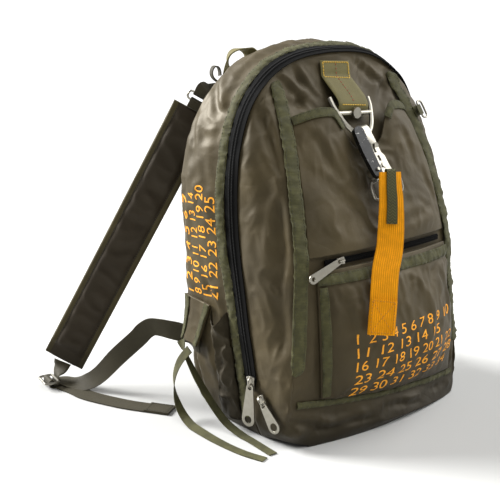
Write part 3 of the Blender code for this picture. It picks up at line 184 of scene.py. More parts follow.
def start_material(name, **sockets):
    """A new material with a Principled shader whose fixed numbers are set on its own sockets."""
    material = bpy.data.materials.new(name)
    material.use_nodes = True
    tree = material.node_tree
    tree.nodes.clear()
    output = add(tree, "ShaderNodeOutputMaterial")
    shader = add(tree, "ShaderNodeBsdfPrincipled")
    tree.links.new(shader.outputs["BSDF"], output.inputs["Surface"])
    for socket, value in sockets.items():
        shader.inputs[socket.replace("_", " ")].default_value = value
    return material, tree, shader


def mix_colours(tree, factor, first, second):
    """Colour output that blends two colours or sockets by a factor socket."""
    node = add(tree, "ShaderNodeMix", data_type="RGBA")
    tree.links.new(factor, node.inputs[0])
    for index, colour in ((6, first), (7, second)):
        if isinstance(colour, bpy.types.NodeSocket):
            tree.links.new(colour, node.inputs[index])
        else:
            node.inputs[index].default_value = (*colour, 1.0)
    return node.outputs[2]


def spread(tree, source, low, high, to_low=0.0, to_high=1.0):
    """Stretch a value from one range to another, held at both ends."""
    return add(
        tree, "ShaderNodeMapRange", {1: low, 2: high, 3: to_low, 4: to_high}, {0: source}, clamp=True,
    ).outputs[0]


def woven_nylon(name, colour, shade, roughness, thread_mm=0.9):
    """Nylon taffeta: a tight plain weave with a silky sheen, dull where it is rubbed.

    Real threads are about 0.2 mm apart; they are drawn coarser so that they show up close.
    """
    material, tree, shader = start_material(
        name, Sheen_Weight=0.03, Sheen_Roughness=0.4, Specular_IOR_Level=0.32, IOR=1.53,
        Specular_Tint=(*to_linear("#FFF1D4"), 1.0),
    )
    place = add(tree, "ShaderNodeTexCoord").outputs["Object"]
    cloud = add(tree, "ShaderNodeTexNoise", {"Scale": per_mm(70), "Detail": 3.0}, {"Vector": place})
    tone = spread(tree, cloud.outputs[0], 0.35, 0.65)
    body = mix_colours(tree, tone, colour, shade)
    fleck = add(tree, "ShaderNodeTexNoise", {"Scale": per_mm(2.2), "Detail": 2.0}, {"Vector": place})
    speckled = mix_colours(
        tree, spread(tree, fleck.outputs[0], 0.3, 0.75, 0.0, 0.35), body, [c * 0.72 for c in colour],
    )
    # Darker towards the bottom of the bag: painted shade on the base cloth, which faces the floor and lies in
    # shadow.
    height = add(tree, "ShaderNodeSeparateXYZ", None, {0: place}).outputs[2]
    base_painted_shade = [c * 0.35 for c in shade]
    base_shaded = mix_colours(tree, spread(tree, height, 12 * MM, 75 * MM), base_painted_shade, speckled)
    tree.links.new(base_shaded, shader.inputs["Base Color"])
    rubbed = spread(tree, cloud.outputs[0], 0.3, 0.7, roughness - 0.05, roughness + 0.07)
    tree.links.new(rubbed, shader.inputs["Roughness"])
    crinkle = add(
        tree, "ShaderNodeTexNoise", {"Scale": per_mm(8.0), "Detail": 5.0, "Roughness": 0.55},
        {"Vector": place},
    )
    warp = add(
        tree, "ShaderNodeTexWave", {"Scale": bands_mm(thread_mm), "Distortion": 0.3}, {"Vector": place},
        bands_direction="X",
    )
    weft = add(
        tree, "ShaderNodeTexWave", {"Scale": bands_mm(thread_mm), "Distortion": 0.3}, {"Vector": place},
        bands_direction="Z",
    )
    threads = add(tree, "ShaderNodeMath", None, {0: warp.outputs[1], 1: weft.outputs[1]}, operation="ADD")
    fine = add(
        tree, "ShaderNodeBump", {"Strength": 0.35, "Distance": 0.00006}, {"Height": threads.outputs[0]},
    )
    bump = add(
        tree, "ShaderNodeBump", {"Strength": 0.5, "Distance": 0.0006},
        {"Height": crinkle.outputs[0], "Normal": fine.outputs[0]},
    )
    wander = add(
        tree, "ShaderNodeTexNoise", {"Scale": per_mm(75.0), "Detail": 1.0, "Distortion": 0.4},
        {"Vector": place},
    )
    level = add(tree, "ShaderNodeMath", {1: 0.5}, {0: wander.outputs[0]}, operation="SUBTRACT")
    away = add(tree, "ShaderNodeMath", None, {0: level.outputs[0]}, operation="ABSOLUTE")
    creases = add(
        tree, "ShaderNodeBump", {"Strength": 0.4, "Distance": 0.0012},
        {"Height": spread(tree, away.outputs[0], 0.0, 0.1), "Normal": bump.outputs[0]},
    )
    tree.links.new(creases.outputs[0], shader.inputs["Normal"])
    return material


def woven_strip(name, colour, rib_mm, pick_mm, roughness, depth_mm=0.25, fade=0.6, wear_and_shade=0.8, gloss=0.3):
    """Tape or webbing: ribs along it and weft picks across it, rubbed lighter on the raised threads.

    It reads the strip's own coordinates, which are metres along and across it.
    """
    material, tree, shader = start_material(
        name, Sheen_Weight=0.1 * gloss, Sheen_Roughness=0.5, Specular_IOR_Level=gloss, IOR=1.53,
    )
    strip = add(tree, "ShaderNodeUVMap", uv_map="strip").outputs[0]
    place = add(tree, "ShaderNodeTexCoord").outputs["Object"]
    ribs = add(
        tree, "ShaderNodeTexWave", {"Scale": bands_mm(rib_mm), "Distortion": 0.25}, {"Vector": strip},
        bands_direction="Y",
    )
    picks = add(
        tree, "ShaderNodeTexWave", {"Scale": bands_mm(pick_mm), "Distortion": 0.6}, {"Vector": strip},
        bands_direction="X",
    )
    cell = add(
        tree, "ShaderNodeMath", None, {0: ribs.outputs[1], 1: picks.outputs[1]}, operation="MULTIPLY",
    )
    wear = add(tree, "ShaderNodeTexNoise", {"Scale": per_mm(8.0), "Detail": 4.0}, {"Vector": place})
    dark = [c * fade for c in colour]
    base = mix_colours(tree, spread(tree, wear.outputs[0], 0.38, 0.6), colour, [c * wear_and_shade for c in colour])
    woven = mix_colours(tree, spread(tree, cell.outputs[0], 0.0, 0.5), dark, base)
    tree.links.new(woven, shader.inputs["Base Color"])
    rough = spread(tree, cell.outputs[0], 0.0, 1.0, roughness + 0.1, roughness)
    tree.links.new(rough, shader.inputs["Roughness"])
    bump = add(
        tree, "ShaderNodeBump", {"Strength": 0.8, "Distance": depth_mm * MM}, {"Height": cell.outputs[0]},
    )
    tree.links.new(bump.outputs[0], shader.inputs["Normal"])
    return material


def herringbone_tape(name, colour):
    """Herringbone tape: its twill turns back in rows, which reads as fine light and dark zigzags."""
    material, tree, shader = start_material(name, Roughness=0.7, Specular_IOR_Level=0.25)
    strip = add(tree, "ShaderNodeUVMap", uv_map="strip").outputs[0]
    part = add(tree, "ShaderNodeSeparateXYZ", None, {0: strip})
    fold = add(tree, "ShaderNodeMath", {1: 3.2 * MM}, {0: part.outputs[1]}, operation="PINGPONG")
    zigzag = add(tree, "ShaderNodeCombineXYZ", None, {0: part.outputs[0], 1: fold.outputs[0]})
    twill = add(
        tree, "ShaderNodeTexWave", {"Scale": bands_mm(1.7)}, {"Vector": zigzag.outputs[0]},
        bands_direction="DIAGONAL",
    )
    rib = spread(tree, twill.outputs[1], 0.3, 0.7)
    tree.links.new(mix_colours(tree, rib, [c * 0.3 for c in colour], colour), shader.inputs["Base Color"])
    bump = add(tree, "ShaderNodeBump", {"Strength": 0.7, "Distance": 0.0003}, {"Height": twill.outputs[1]})
    tree.links.new(bump.outputs[0], shader.inputs["Normal"])
    return material


def sewing_thread(name, colour, roughness=0.55, gloss=0.4):
    """Twisted polyester thread, slightly glossy along its plies."""
    material, tree, shader = start_material(name, Roughness=roughness, Specular_IOR_Level=gloss)
    place = add(tree, "ShaderNodeTexCoord").outputs["Object"]
    ply = add(tree, "ShaderNodeTexNoise", {"Scale": per_mm(0.7), "Detail": 1.0}, {"Vector": place})
    shaded = mix_colours(tree, ply.outputs[0], colour, [c * 0.6 for c in colour])
    tree.links.new(shaded, shader.inputs["Base Color"])
    return material


def nickel_plate(name, colour):
    """Nickel-plated die casting: bright and smooth, with a cloudy polish from handling."""
    material, tree, shader = start_material(name, Metallic=1.0)
    place = add(tree, "ShaderNodeTexCoord").outputs["Object"]
    cloud = add(tree, "ShaderNodeTexNoise", {"Scale": per_mm(5.0), "Detail": 4.0}, {"Vector": place})
    tree.links.new(
        mix_colours(tree, spread(tree, cloud.outputs[0], 0.35, 0.7), colour, [c * 0.9 for c in colour]),
        shader.inputs["Base Color"],
    )
    tree.links.new(spread(tree, cloud.outputs[0], 0.3, 0.7, 0.3, 0.38), shader.inputs["Roughness"])
    return material


def coated_steel(name, colour):
    """Black oxide on pressed steel: satin, with small bright specks where it is chipped."""
    material, tree, shader = start_material(name, Metallic=0.2, Specular_IOR_Level=0.35)
    place = add(tree, "ShaderNodeTexCoord").outputs["Object"]
    chips = add(tree, "ShaderNodeTexNoise", {"Scale": per_mm(2.6), "Detail": 6.0}, {"Vector": place})
    bare = spread(tree, chips.outputs[0], 0.66, 0.70)
    tree.links.new(mix_colours(tree, bare, colour, to_linear("#B3B1AD")), shader.inputs["Base Color"])
    tree.links.new(spread(tree, chips.outputs[0], 0.3, 0.7, 0.28, 0.5), shader.inputs["Roughness"])
    return material


def screen_ink(name, colour):
    """Screen-printed ink: matt, slightly thin where the weave shows through."""
    material, tree, shader = start_material(name, Roughness=0.7, Specular_IOR_Level=0.25)
    place = add(tree, "ShaderNodeTexCoord").outputs["Object"]
    thin = add(tree, "ShaderNodeTexNoise", {"Scale": per_mm(1.4), "Detail": 3.0}, {"Vector": place})
    wear_and_shade = spread(tree, thin.outputs[0], 0.45, 0.75, 0.0, 0.5)
    tree.links.new(mix_colours(tree, wear_and_shade, colour, [c * 0.45 for c in colour]), shader.inputs["Base Color"])
    return material


# Shapes read from the solids

def welded(node):
    """A node's mesh with its split corners joined again."""
    work = bmesh.new()
    work.from_mesh(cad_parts[node].data)
    bmesh.ops.remove_doubles(work, verts=work.verts, dist=0.002 * MM)
    work.verts.ensure_lookup_table()
    work.verts.index_update()
    return work


def finish_piece(obj, node, body="bag"):
    """A dressed piece rides on its body and stands for its solid, which is hidden."""
    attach(obj, body)
    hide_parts(node)


def trim_piece(obj):
    """A small piece of the bag that stands for no solid, such as thread."""
    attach(obj, "bag")


def make_mesh(name, points, faces, materials):
    """A named smooth object from points in metres."""
    mesh = bpy.data.meshes.new(name)
    mesh.from_pydata([tuple(point) for point in points], [], faces)
    mesh.validate()
    for material in materials:
        mesh.materials.append(material)
    mesh.shade_smooth()
    obj = bpy.data.objects.new(name, mesh)
    bpy.context.scene.collection.objects.link(obj)
    return obj


def refined(node, name, levels, material, crease_angle=50.0):
    """A finer copy of a solid: its facets are joined to quads and subdivided, with its rims kept."""
    work = welded(node)
    bmesh.ops.join_triangles(
        work, faces=work.faces[:], angle_face_threshold=math.radians(30),
        angle_shape_threshold=math.radians(70),
    )
    layer = work.edges.layers.float.new("crease_edge")
    for edge in work.edges:
        if len(edge.link_faces) == 2 and edge.calc_face_angle(0.0) > math.radians(crease_angle):
            edge[layer] = 1.0
    mesh = bpy.data.meshes.new(name)
    work.to_mesh(mesh)
    work.free()
    obj = bpy.data.objects.new(name, mesh)
    bpy.context.scene.collection.objects.link(obj)
    modifier = obj.modifiers.new("subdivide", "SUBSURF")
    modifier.levels = levels
    modifier.render_levels = levels
    fine = bpy.data.meshes.new_from_object(obj.evaluated_get(bpy.context.evaluated_depsgraph_get()))
    obj.modifiers.clear()
    obj.data = fine
    bpy.data.meshes.remove(mesh)
    fine.name = name
    fine.materials.clear()
    fine.materials.append(material)
    fine.shade_smooth()
    return obj


def face_outward(obj):
    """Turn a closed mesh's faces to look outwards."""
    work = bmesh.new()
    work.from_mesh(obj.data)
    bmesh.ops.recalc_face_normals(work, faces=work.faces[:])
    work.to_mesh(obj.data)
    work.free()


def search_tree(*nodes):
    """One search tree over several nodes' surfaces."""
    points = []
    faces = []
    for node in nodes:
        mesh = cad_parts[node].data
        start = len(points)
        points.extend(vertex.co.copy() for vertex in mesh.vertices)
        faces.extend([start + index for index in face.vertices] for face in mesh.polygons)
    return BVHTree.FromPolygons(points, faces)


def tree_of(*objects):
    """One search tree over finished pieces."""
    points = []
    faces = []
    for obj in objects:
        start = len(points)
        points.extend(obj.matrix_world @ vertex.co for vertex in obj.data.vertices)
        faces.extend([start + index for index in face.vertices] for face in obj.data.polygons)
    return BVHTree.FromPolygons(points, faces)


def ease(value, low, high):
    """Smooth step from 0 at low to 1 at high."""
    share = max(0.0, min(1.0, (value - low) / (high - low)))
    return share * share * (3 - 2 * share)


def crumple(point, size, seed, stretch=(1.0, 1.0, 1.0)):
    """Soft folds with a sharper crest, between -1 and 1, from warped noise."""
    spot = Vector((point[0] * stretch[0], point[1] * stretch[1], point[2] * stretch[2])) / size
    spot += Vector((seed * 7.3, seed * 3.1, seed * 5.7))
    bent = spot + noise.noise_vector(spot * 0.6) * 0.7
    wave = noise.noise(bent)
    return 1.0 - 3.2 * abs(wave)


# Creases are troughs with a ridge beside them, in mm and degrees.  Across is X on the front, the back and the
# pockets, and Y on the sides.
Crease = namedtuple("Crease", "face across height length width angle depth")
CREASES = (
    Crease(face="front", across=-118, height=325, length=110, width=8, angle=-78, depth=5.0),
    Crease(face="front", across=-131, height=250, length=95, width=8, angle=-84, depth=4.8),
    Crease(face="front", across=-122, height=285, length=70, width=6, angle=82, depth=2.6),
    Crease(face="front", across=-140, height=200, length=90, width=7, angle=86, depth=4.0),
    Crease(face="front", across=-134, height=150, length=100, width=8, angle=-80, depth=4.6),
    Crease(face="front", across=-143, height=110, length=60, width=6, angle=78, depth=2.6),
    Crease(face="front", across=-78, height=398, length=55, width=6, angle=-35, depth=3.4),
    Crease(face="front", across=-58, height=412, length=60, width=5, angle=-52, depth=2.6),
    Crease(face="front", across=-90, height=380, length=40, width=6, angle=15, depth=2.6),
    Crease(face="front", across=-62, height=384, length=46, width=5, angle=30, depth=2.4),
    Crease(face="front", across=58, height=414, length=46, width=5, angle=-28, depth=2.4),
    Crease(face="front", across=80, height=402, length=52, width=6, angle=48, depth=3.6),
    Crease(face="front", across=96, height=392, length=40, width=5, angle=72, depth=2.6),
    Crease(face="front", across=120, height=300, length=90, width=6, angle=-80, depth=2.6),
    Crease(face="front", across=150, height=160, length=90, width=7, angle=85, depth=2.6),
    Crease(face="front", across=-110, height=26, length=90, width=7, angle=-18, depth=3.4),
    Crease(face="front", across=-50, height=18, length=110, width=7, angle=6, depth=3.0),
    Crease(face="front", across=30, height=20, length=100, width=6, angle=-8, depth=2.6),
    Crease(face="front", across=95, height=22, length=80, width=7, angle=12, depth=3.2),
    Crease(face="side", across=44, height=392, length=70, width=6, angle=55, depth=2.6),
    Crease(face="side", across=20, height=372, length=50, width=5, angle=35, depth=1.8),
    Crease(face="side", across=58, height=350, length=60, width=6, angle=80, depth=2.0),
    Crease(face="side", across=62, height=290, length=70, width=6, angle=-75, depth=1.6),
    Crease(face="side", across=18, height=160, length=60, width=5, angle=72, depth=2.2),
    Crease(face="side", across=60, height=60, length=90, width=7, angle=80, depth=3.4),
    Crease(face="side", across=-10, height=40, length=70, width=6, angle=40, depth=3.0),
    Crease(face="back", across=-60, height=320, length=120, width=9, angle=70, depth=2.0),
    Crease(face="back", across=40, height=150, length=120, width=9, angle=-65, depth=2.2),
    Crease(face="back", across=0, height=60, length=150, width=8, angle=8, depth=2.4),
    Crease(face="pocket", across=-84, height=180, length=60, width=5, angle=-60, depth=2.2),
    Crease(face="pocket", across=-70, height=150, length=80, width=6, angle=-72, depth=1.8),
    Crease(face="pocket", across=30, height=182, length=44, width=5, angle=70, depth=1.6),
    Crease(face="pocket", across=78, height=186, length=44, width=5, angle=60, depth=1.8),
    Crease(face="pocket", across=96, height=140, length=70, width=6, angle=-75, depth=1.6),
    Crease(face="pocket", across=-20, height=70, length=90, width=6, angle=12, depth=1.4),
    Crease(face="slip", across=-62, height=320, length=80, width=6, angle=-58, depth=2.4),
    Crease(face="slip", across=-52, height=280, length=90, width=7, angle=-35, depth=2.6),
    Crease(face="slip", across=-30, height=250, length=70, width=6, angle=-50, depth=2.0),
    Crease(face="slip", across=70, height=330, length=80, width=6, angle=-62, depth=2.0),
    Crease(face="slip", across=92, height=290, length=80, width=6, angle=-70, depth=1.8),
    Crease(face="slip", across=60, height=250, length=70, width=6, angle=25, depth=1.8),
)


def crease_at(face, across, height):
    """How far the creases of one face move the cloth at a place in mm: below 0 is a trough."""
    total = 0.0
    for crease in CREASES:
        if crease.face != face:
            continue
        turn = math.radians(crease.angle)
        side = across - crease.across
        rise = height - crease.height
        along = (side * math.cos(turn) + rise * math.sin(turn)) / (crease.length / 2)
        beside = (rise * math.cos(turn) - side * math.sin(turn)) / crease.width
        beside += 0.5 * math.sin(along * 2.2)
        if abs(along) < 2.2 and abs(beside) < 4.5:
            fade = math.exp(-along * along)
            ridge = 0.7 * math.exp(-((beside - 1.5) ** 2))
            total += crease.depth * fade * (ridge - math.exp(-beside * beside))
    return total


def press_folds(obj, moves):
    """Move each point by what moves(point, normal) gives."""
    mesh = obj.data
    shifted = np.empty(len(mesh.vertices) * 3)
    for index, vertex in enumerate(mesh.vertices):
        spot = vertex.co + moves(vertex.co, vertex.normal)
        shifted[index * 3:index * 3 + 3] = spot
    mesh.vertices.foreach_set("co", shifted)
    mesh.update()


# Strips of tape and webbing: the middle line, the ways across and out, half the width and the distance along

Lay = namedtuple("Lay", "centre across normal half along")


def strip_edges(node, thick, skipped=0):
    """Middle lines of a strip's two edges, from its pairs of corners that lie one thickness apart."""
    work = welded(node)
    pair_of = {}
    spots = []
    for edge in sorted(work.edges, key=lambda e: abs(e.calc_length() - thick)):
        first, second = edge.verts
        if abs(edge.calc_length() - thick) > 0.03 * MM:
            break
        if first.index in pair_of or second.index in pair_of:
            continue
        pair_of[first.index] = len(spots)
        pair_of[second.index] = len(spots)
        spots.append((first.co + second.co) / 2)
    near = {index: set() for index in range(len(spots))}
    for face in work.faces:
        names = [pair_of.get(vertex.index) for vertex in face.verts]
        whole = {name for name in names if name is not None and names.count(name) == 2}
        for name in whole:
            near[name].update(other for other in names if other is not None and other != name)
    for name, others in near.items():
        for other in list(others):
            near[other].add(name)
    work.free()

    def walk(start):
        line = [start]
        while True:
            ahead = [other for other in near[line[-1]] if other not in line]
            if not ahead:
                return line
            line.append(min(ahead, key=lambda other: (spots[other] - spots[line[-1]]).length))

    ends = [name for name in near if len(near[name]) == 1]
    if ends:
        first = walk(ends[0])
        rest = [name for name in ends if name not in first]
        rest.sort(key=lambda name: (spots[name] - spots[first[0]]).length)
        second = walk(rest[0])
        count = min(len(first), len(second))
        return [spots[i] for i in first[:count]], [spots[i] for i in second[:count]]
    ring = walk(0)
    count = (len(ring) - 2 * skipped) // 2
    best = None
    for turn in range(len(ring)):
        turned = ring[turn:] + ring[:turn]
        left = [spots[i] for i in turned[:count]]
        right = [spots[i] for i in turned[count + skipped:2 * count + skipped][::-1]]
        spans = [(a - b).length for a, b in zip(left, right)]
        uneven = max(spans) - min(spans)
        if best is None or uneven < best[0]:
            best = (uneven, left, right)
    return best[1], best[2]


def dense(rows):
    """Smooth curve through rows of numbers, eight steps to a gap."""
    rows = np.asarray(rows, float)
    wide = np.vstack([2 * rows[0] - rows[1], rows, 2 * rows[-1] - rows[-2]])
    made = []
    for i in range(len(rows) - 1):
        before, near, far, after = wide[i:i + 4]
        for step in range(8):
            t = step / 8
            made.append(0.5 * (
                2 * near + (far - before) * t + (2 * before - 5 * near + 4 * far - after) * t * t
                + (3 * near - before - 3 * far + after) * t ** 3
            ))
    made.append(rows[-1])
    return np.array(made)


def unit(rows):
    """Rows of numbers, each scaled to length 1."""
    return rows / np.maximum(np.linalg.norm(rows, axis=1, keepdims=True), 1e-9)


def lay_of(left, right, spacing, start=None, out=None, share=1.0):
    """Even stations along a strip between its two edge lines."""
    left = np.array([tuple(p) for p in left])
    right = np.array([tuple(p) for p in right])
    if start is not None:
        start = np.array(start) * MM
        if np.linalg.norm(left[-1] - start) < np.linalg.norm(left[0] - start):
            left = left[::-1]
            right = right[::-1]
    rows = dense(np.hstack([(left + right) / 2, (right - left) / 2]))
    steps = np.linalg.norm(np.diff(rows[:, :3], axis=0), axis=1)
    along = np.concatenate([[0.0], np.cumsum(steps)])
    count = max(3, int(round(along[-1] / spacing)))
    even = np.linspace(0.0, along[-1], count + 1)
    rows = np.column_stack([np.interp(even, along, rows[:, k]) for k in range(6)])
    centre = rows[:, :3]
    tangent = unit(np.gradient(centre, axis=0))
    half = np.linalg.norm(rows[:, 3:], axis=1) * share
    across = rows[:, 3:] - tangent * np.sum(rows[:, 3:] * tangent, axis=1, keepdims=True)
    across = unit(across)
    normal = unit(np.cross(tangent, across))
    middle = len(centre) // 2
    if out is None:
        spot = centre[middle]
        out = spot - np.array([0.0, 0.02, min(spot[2], 0.33)])
    if np.dot(normal[middle], out) < 0:
        across = -across
        normal = -normal
    return Lay(centre, across, normal, half, even)


def strip_mesh(name, lay, thick, materials, columns=7, shape=None, crown=0.0):
    """A woven strip with rounded edges; shape(along, share) lifts it, share runs from -1 to 1 across."""
    shares = np.linspace(-0.97, 0.97, columns)
    loop = [(-1.0, 0.0)] + [(s, 1.0) for s in shares] + [(1.0, 0.0)] + [(s, -1.0) for s in shares[::-1]]
    size = len(loop)
    points = []
    coords = []
    for i in range(len(lay.centre)):
        for share, side in loop:
            lift = side * thick / 2 + crown * (1 - share * share)
            if shape is not None:
                lift += shape(lay.along[i], share)
            spot = lay.centre[i] + lay.across[i] * share * lay.half[i] + lay.normal[i] * lift
            spot[2] = max(spot[2], FLOOR_CLEAR)
            points.append(spot)
            coords.append((lay.along[i], share * lay.half[i]))
    faces = []
    for k in range(len(lay.centre) - 1):
        for i in range(size):
            j = (i + 1) % size
            faces.append((k * size + i, (k + 1) * size + i, (k + 1) * size + j, k * size + j))
    faces.append(tuple(range(size)))
    last = (len(lay.centre) - 1) * size
    faces.append(tuple(last + i for i in reversed(range(size))))
    obj = make_mesh(name, points, faces, materials)
    layer = obj.data.uv_layers.new(name="strip")
    for loop_data in obj.data.loops:
        layer.data[loop_data.index].uv = coords[loop_data.vertex_index]
    face_outward(obj)
    obj.data.set_sharp_from_angle(angle=math.radians(60))
    return obj


def ripple(depth, pitch, seed, edge=0.5):
    """Uneven gathers across a sewn tape, strongest at its edges."""
    def shape(along, share):
        wave = noise.noise(Vector((along / pitch, share * 0.9, seed * 3.7)))
        slow = noise.noise(Vector((along / (pitch * 4), share * 0.4, seed * 1.9)))
        return depth * (wave * (edge + (1 - edge) * share * share) + 0.7 * slow)
    return shape


def at_lay(lay, along, share, lift):
    """Point, direction, across and normal at a place on a strip."""
    index = int(np.clip(np.searchsorted(lay.along, along), 1, len(lay.along) - 1))
    t = (along - lay.along[index - 1]) / (lay.along[index] - lay.along[index - 1])
    centre, across, normal, half = (
        rows[index - 1] * (1 - t) + rows[index] * t for rows in (lay.centre, lay.across, lay.normal, lay.half)
    )
    point = Vector(centre + across * share * half + normal * lift)
    across = Vector(across)
    normal = Vector(normal)
    return point, across.cross(normal).normalized(), across, normal


def bead(length, radius, sides=5):
    """Points and faces of a short round bar along X."""
    points = [(-length / 2, 0, 0)]
    for x, share in ((-0.36, 0.8), (0.0, 1.0), (0.36, 0.8)):
        for k in range(sides):
            angle = 2 * math.pi * k / sides
            points.append((x * length, radius * share * math.cos(angle), radius * share * math.sin(angle)))
    points.append((length / 2, 0, 0))
    faces = [(0, 1 + (k + 1) % sides, 1 + k) for k in range(sides)]
    for ring in range(2):
        for k in range(sides):
            a = 1 + ring * sides + k
            b = 1 + ring * sides + (k + 1) % sides
            faces.append((a, b, b + sides, a + sides))
    last = len(points) - 1
    faces += [(last, last - sides + k, last - sides + (k + 1) % sides) for k in range(sides)]
    return np.array(points), faces


def string_beads(name, spots, length, radius, material, sides=5):
    """Many small bars as one mesh; each spot gives its centre, its direction and a normal."""
    shape, shape_faces = bead(length, radius, sides)
    points = []
    faces = []
    for centre, direction, normal in spots:
        x = direction.normalized()
        z = (normal - x * normal.dot(x)).normalized()
        y = z.cross(x)
        turned = shape @ np.array([x, y, z])
        start = len(points)
        points.extend(turned + np.array(centre))
        faces.extend([start + index for index in face] for face in shape_faces)
    return make_mesh(name, points, faces, [material])


def seam_spots(lay, share, lift, start=0.0, end=None, pitch=STITCH_PITCH):
    """Places of a row of stitches along a strip."""
    end = lay.along[-1] if end is None else end
    count = int((end - start) / pitch)
    spots = []
    for k in range(count):
        point, direction, _, normal = at_lay(lay, start + (k + 0.5) * pitch, share, lift)
        spots.append((point, direction, normal))
    return spots


def cross_spots(lay, along, low, high, lift, pitch=STITCH_PITCH):
    """Places of a row of stitches across a strip, from share low to share high."""
    half = float(np.interp(along, lay.along, lay.half))
    count = max(1, int((high - low) * half / pitch))
    spots = []
    for k in range(count):
        share = low + (high - low) * (k + 0.5) / count
        point, _, across, normal = at_lay(lay, along, share, lift)
        spots.append((point, across, normal))
    return spots


def box_spots(lay, start, end, share, lift, inset=0.0):
    """Places of a box of stitches on a strip: two rows along it, and two across it that are set in."""
    spots = seam_spots(lay, -share, lift, start, end)
    spots += seam_spots(lay, share, lift, start, end)
    spots += cross_spots(lay, start + inset, -share, share, lift)
    spots += cross_spots(lay, end - inset, -share, share, lift)
    return spots


def slanted_spots(lay, start, end, first, last, lift, pitch=STITCH_PITCH):
    """Places of a straight row of stitches from (start, first) to (end, last) on a strip."""
    a, _, _, _ = at_lay(lay, start, first, lift)
    b, _, _, _ = at_lay(lay, end, last, lift)
    count = max(1, int((b - a).length / pitch))
    spots = []
    for k in range(count):
        t = (k + 0.5) / count
        point, _, _, normal = at_lay(lay, start + (end - start) * t, first + (last - first) * t, lift)
        spots.append((point, (b - a).normalized(), normal))
    return spots


# Finishes that the pieces share, and pieces and strips that others are laid on, by name
LOOKS = {}
MADE = {}


class DAYPACK_OT_materials(bpy.types.Operator):
    """Make the finishes that the pieces share"""

    bl_idname = "daypack.materials"
    bl_label = "Daypack Finishes"

    def execute(self, context):
        LOOKS["nylon"] = woven_nylon("nylon_taffeta_olive", cloth().nylon, cloth().nylon_shade, 0.56)
        # The side pockets get a darker copy of the nylon. This is painted shade for pockets that lie in
        # shadow.
        shade = cloth().nylon_shade
        wear_and_shade = [c * 0.6 for c in shade]
        LOOKS["dark_nylon"] = woven_nylon("nylon_taffeta_painted_shade", wear_and_shade, [c * 0.5 for c in wear_and_shade], 0.55)
        LOOKS["pad"] = woven_nylon("nylon_taffeta_strap", cloth().pad, [c * 0.75 for c in cloth().pad], 0.58)
        LOOKS["tape"] = woven_strip("woven_binding_tape", trim().tape, 1.3, 1.6, 0.72, 0.22, 0.6, 0.42)
        LOOKS["webbing"] = woven_strip("woven_hanger_webbing", trim().webbing, 1.5, 1.1, 0.62, 0.25)
        LOOKS["keeper"] = herringbone_tape("herringbone_keeper_tape", trim().tape)
        LOOKS["strap"] = woven_strip("woven_strap_webbing", trim().strap, 1.6, 1.3, 0.62, 0.25)
        LOOKS["pull"] = woven_strip("ribbed_pull_webbing", trim().pull, 2.4, 0.9, 0.7, 0.45, 0.55, gloss=0.1)
        LOOKS["zip_tape"] = woven_strip("woven_zip_tape", trim().zip_black, 1.0, 1.2, 0.7, 0.15, gloss=0.08)
        LOOKS["coil"] = sewing_thread("moulded_nylon_coil", trim().zip_black, 0.66, 0.12)
        LOOKS["gold_thread"] = sewing_thread("gold_polyester_thread", trim().gold_thread)
        LOOKS["red_thread"] = sewing_thread("red_polyester_thread", trim().red_thread)
        LOOKS["dark_thread"] = sewing_thread("dark_polyester_thread", trim().dark_thread)
        LOOKS["orange_thread"] = sewing_thread("orange_polyester_thread", [c * 0.6 for c in trim().pull])
        LOOKS["nickel"] = nickel_plate("nickel_plated_casting", metal().nickel)
        LOOKS["lever"] = coated_steel("black_oxide_steel", metal().black)
        LOOKS["ink"] = screen_ink("screen_print_ink", cloth().print_ink)
        return {"FINISHED"}


SEWN_DOWN = (
    "zip_binding", "main_zip", "front_tape_left", "front_tape_right", "base_seam_binding", "hanger_webbing",
    "side_wing_left", "side_wing_right", "upper_slider", "upper_pull", "lower_slider", "lower_pull",
    "pocket_zip", "pocket_slider", "pocket_pull", "carry_handle", "hang_loop", "anchor_webbing_left",
    "anchor_webbing_right", "side_ring_loop", "tie_left_flat", "strap_webbing_left", "strap_webbing_right",
)
COVERS = ("front_pocket", "slip_pocket", "side_pocket_left", "side_pocket_right")


class DAYPACK_OT_body(bpy.types.Operator):
    """Dress the stuffed body in creased nylon"""

    bl_idname = "daypack.body"
    bl_label = "Daypack Body"

    def execute(self, context):
        sewn = search_tree(*SEWN_DOWN)
        covers = search_tree(*COVERS)
        for node, seed in (("body_rear", 2), ("body_front", 5)):
            obj = refined(node, node + "_nylon", 3, LOOKS["nylon"])
            press_folds(obj, lambda point, normal: body_move(point, normal, sewn, covers, seed))
            finish_piece(obj, node)
            MADE[node] = obj
        return {"FINISHED"}


def body_move(point, normal, sewn, covers, seed):
    """Crumples, creases and seam gathers of the stuffed body at one point."""
    if point.z < 4 * MM:
        return Vector((0, 0, 0))
    held = sewn.find_nearest(point)[3]
    covered = covers.find_nearest(point)[3]
    free = ease(held, 1 * MM, 16 * MM) * ease(covered, 1 * MM, 12 * MM)
    free *= ease(point.z, 3 * MM, 25 * MM)
    soft = crumple(point, cloth().crumple_size, seed, (1.0, 1.0, 0.4)) * cloth().crumple_depth
    ripples = crumple(point, cloth().crumple_size * 0.45, seed + 2, (1.0, 1.0, 0.5))
    soft += ripples * cloth().crumple_depth * 0.28
    small = crumple(point, cloth().crinkle_size, seed + 1, (1.0, 1.0, 0.7)) * cloth().crinkle_depth
    gather = noise.noise(point / (7 * MM)) * cloth().pucker_depth * (1 - ease(held, 2 * MM, 30 * MM))
    x, y, z = point / MM
    faces = [("front", x, z, -normal.y), ("side", y, z, abs(normal.x)), ("back", x, z, normal.y)]
    creased = sum(crease_at(face, a, h) * ease(facing, 0.15, 0.6) for face, a, h, facing in faces) * 1.6 * MM
    lift = (soft * 0.7 + small + gather + creased) * free
    return normal * max(min(lift, 6 * MM), -8 * MM)


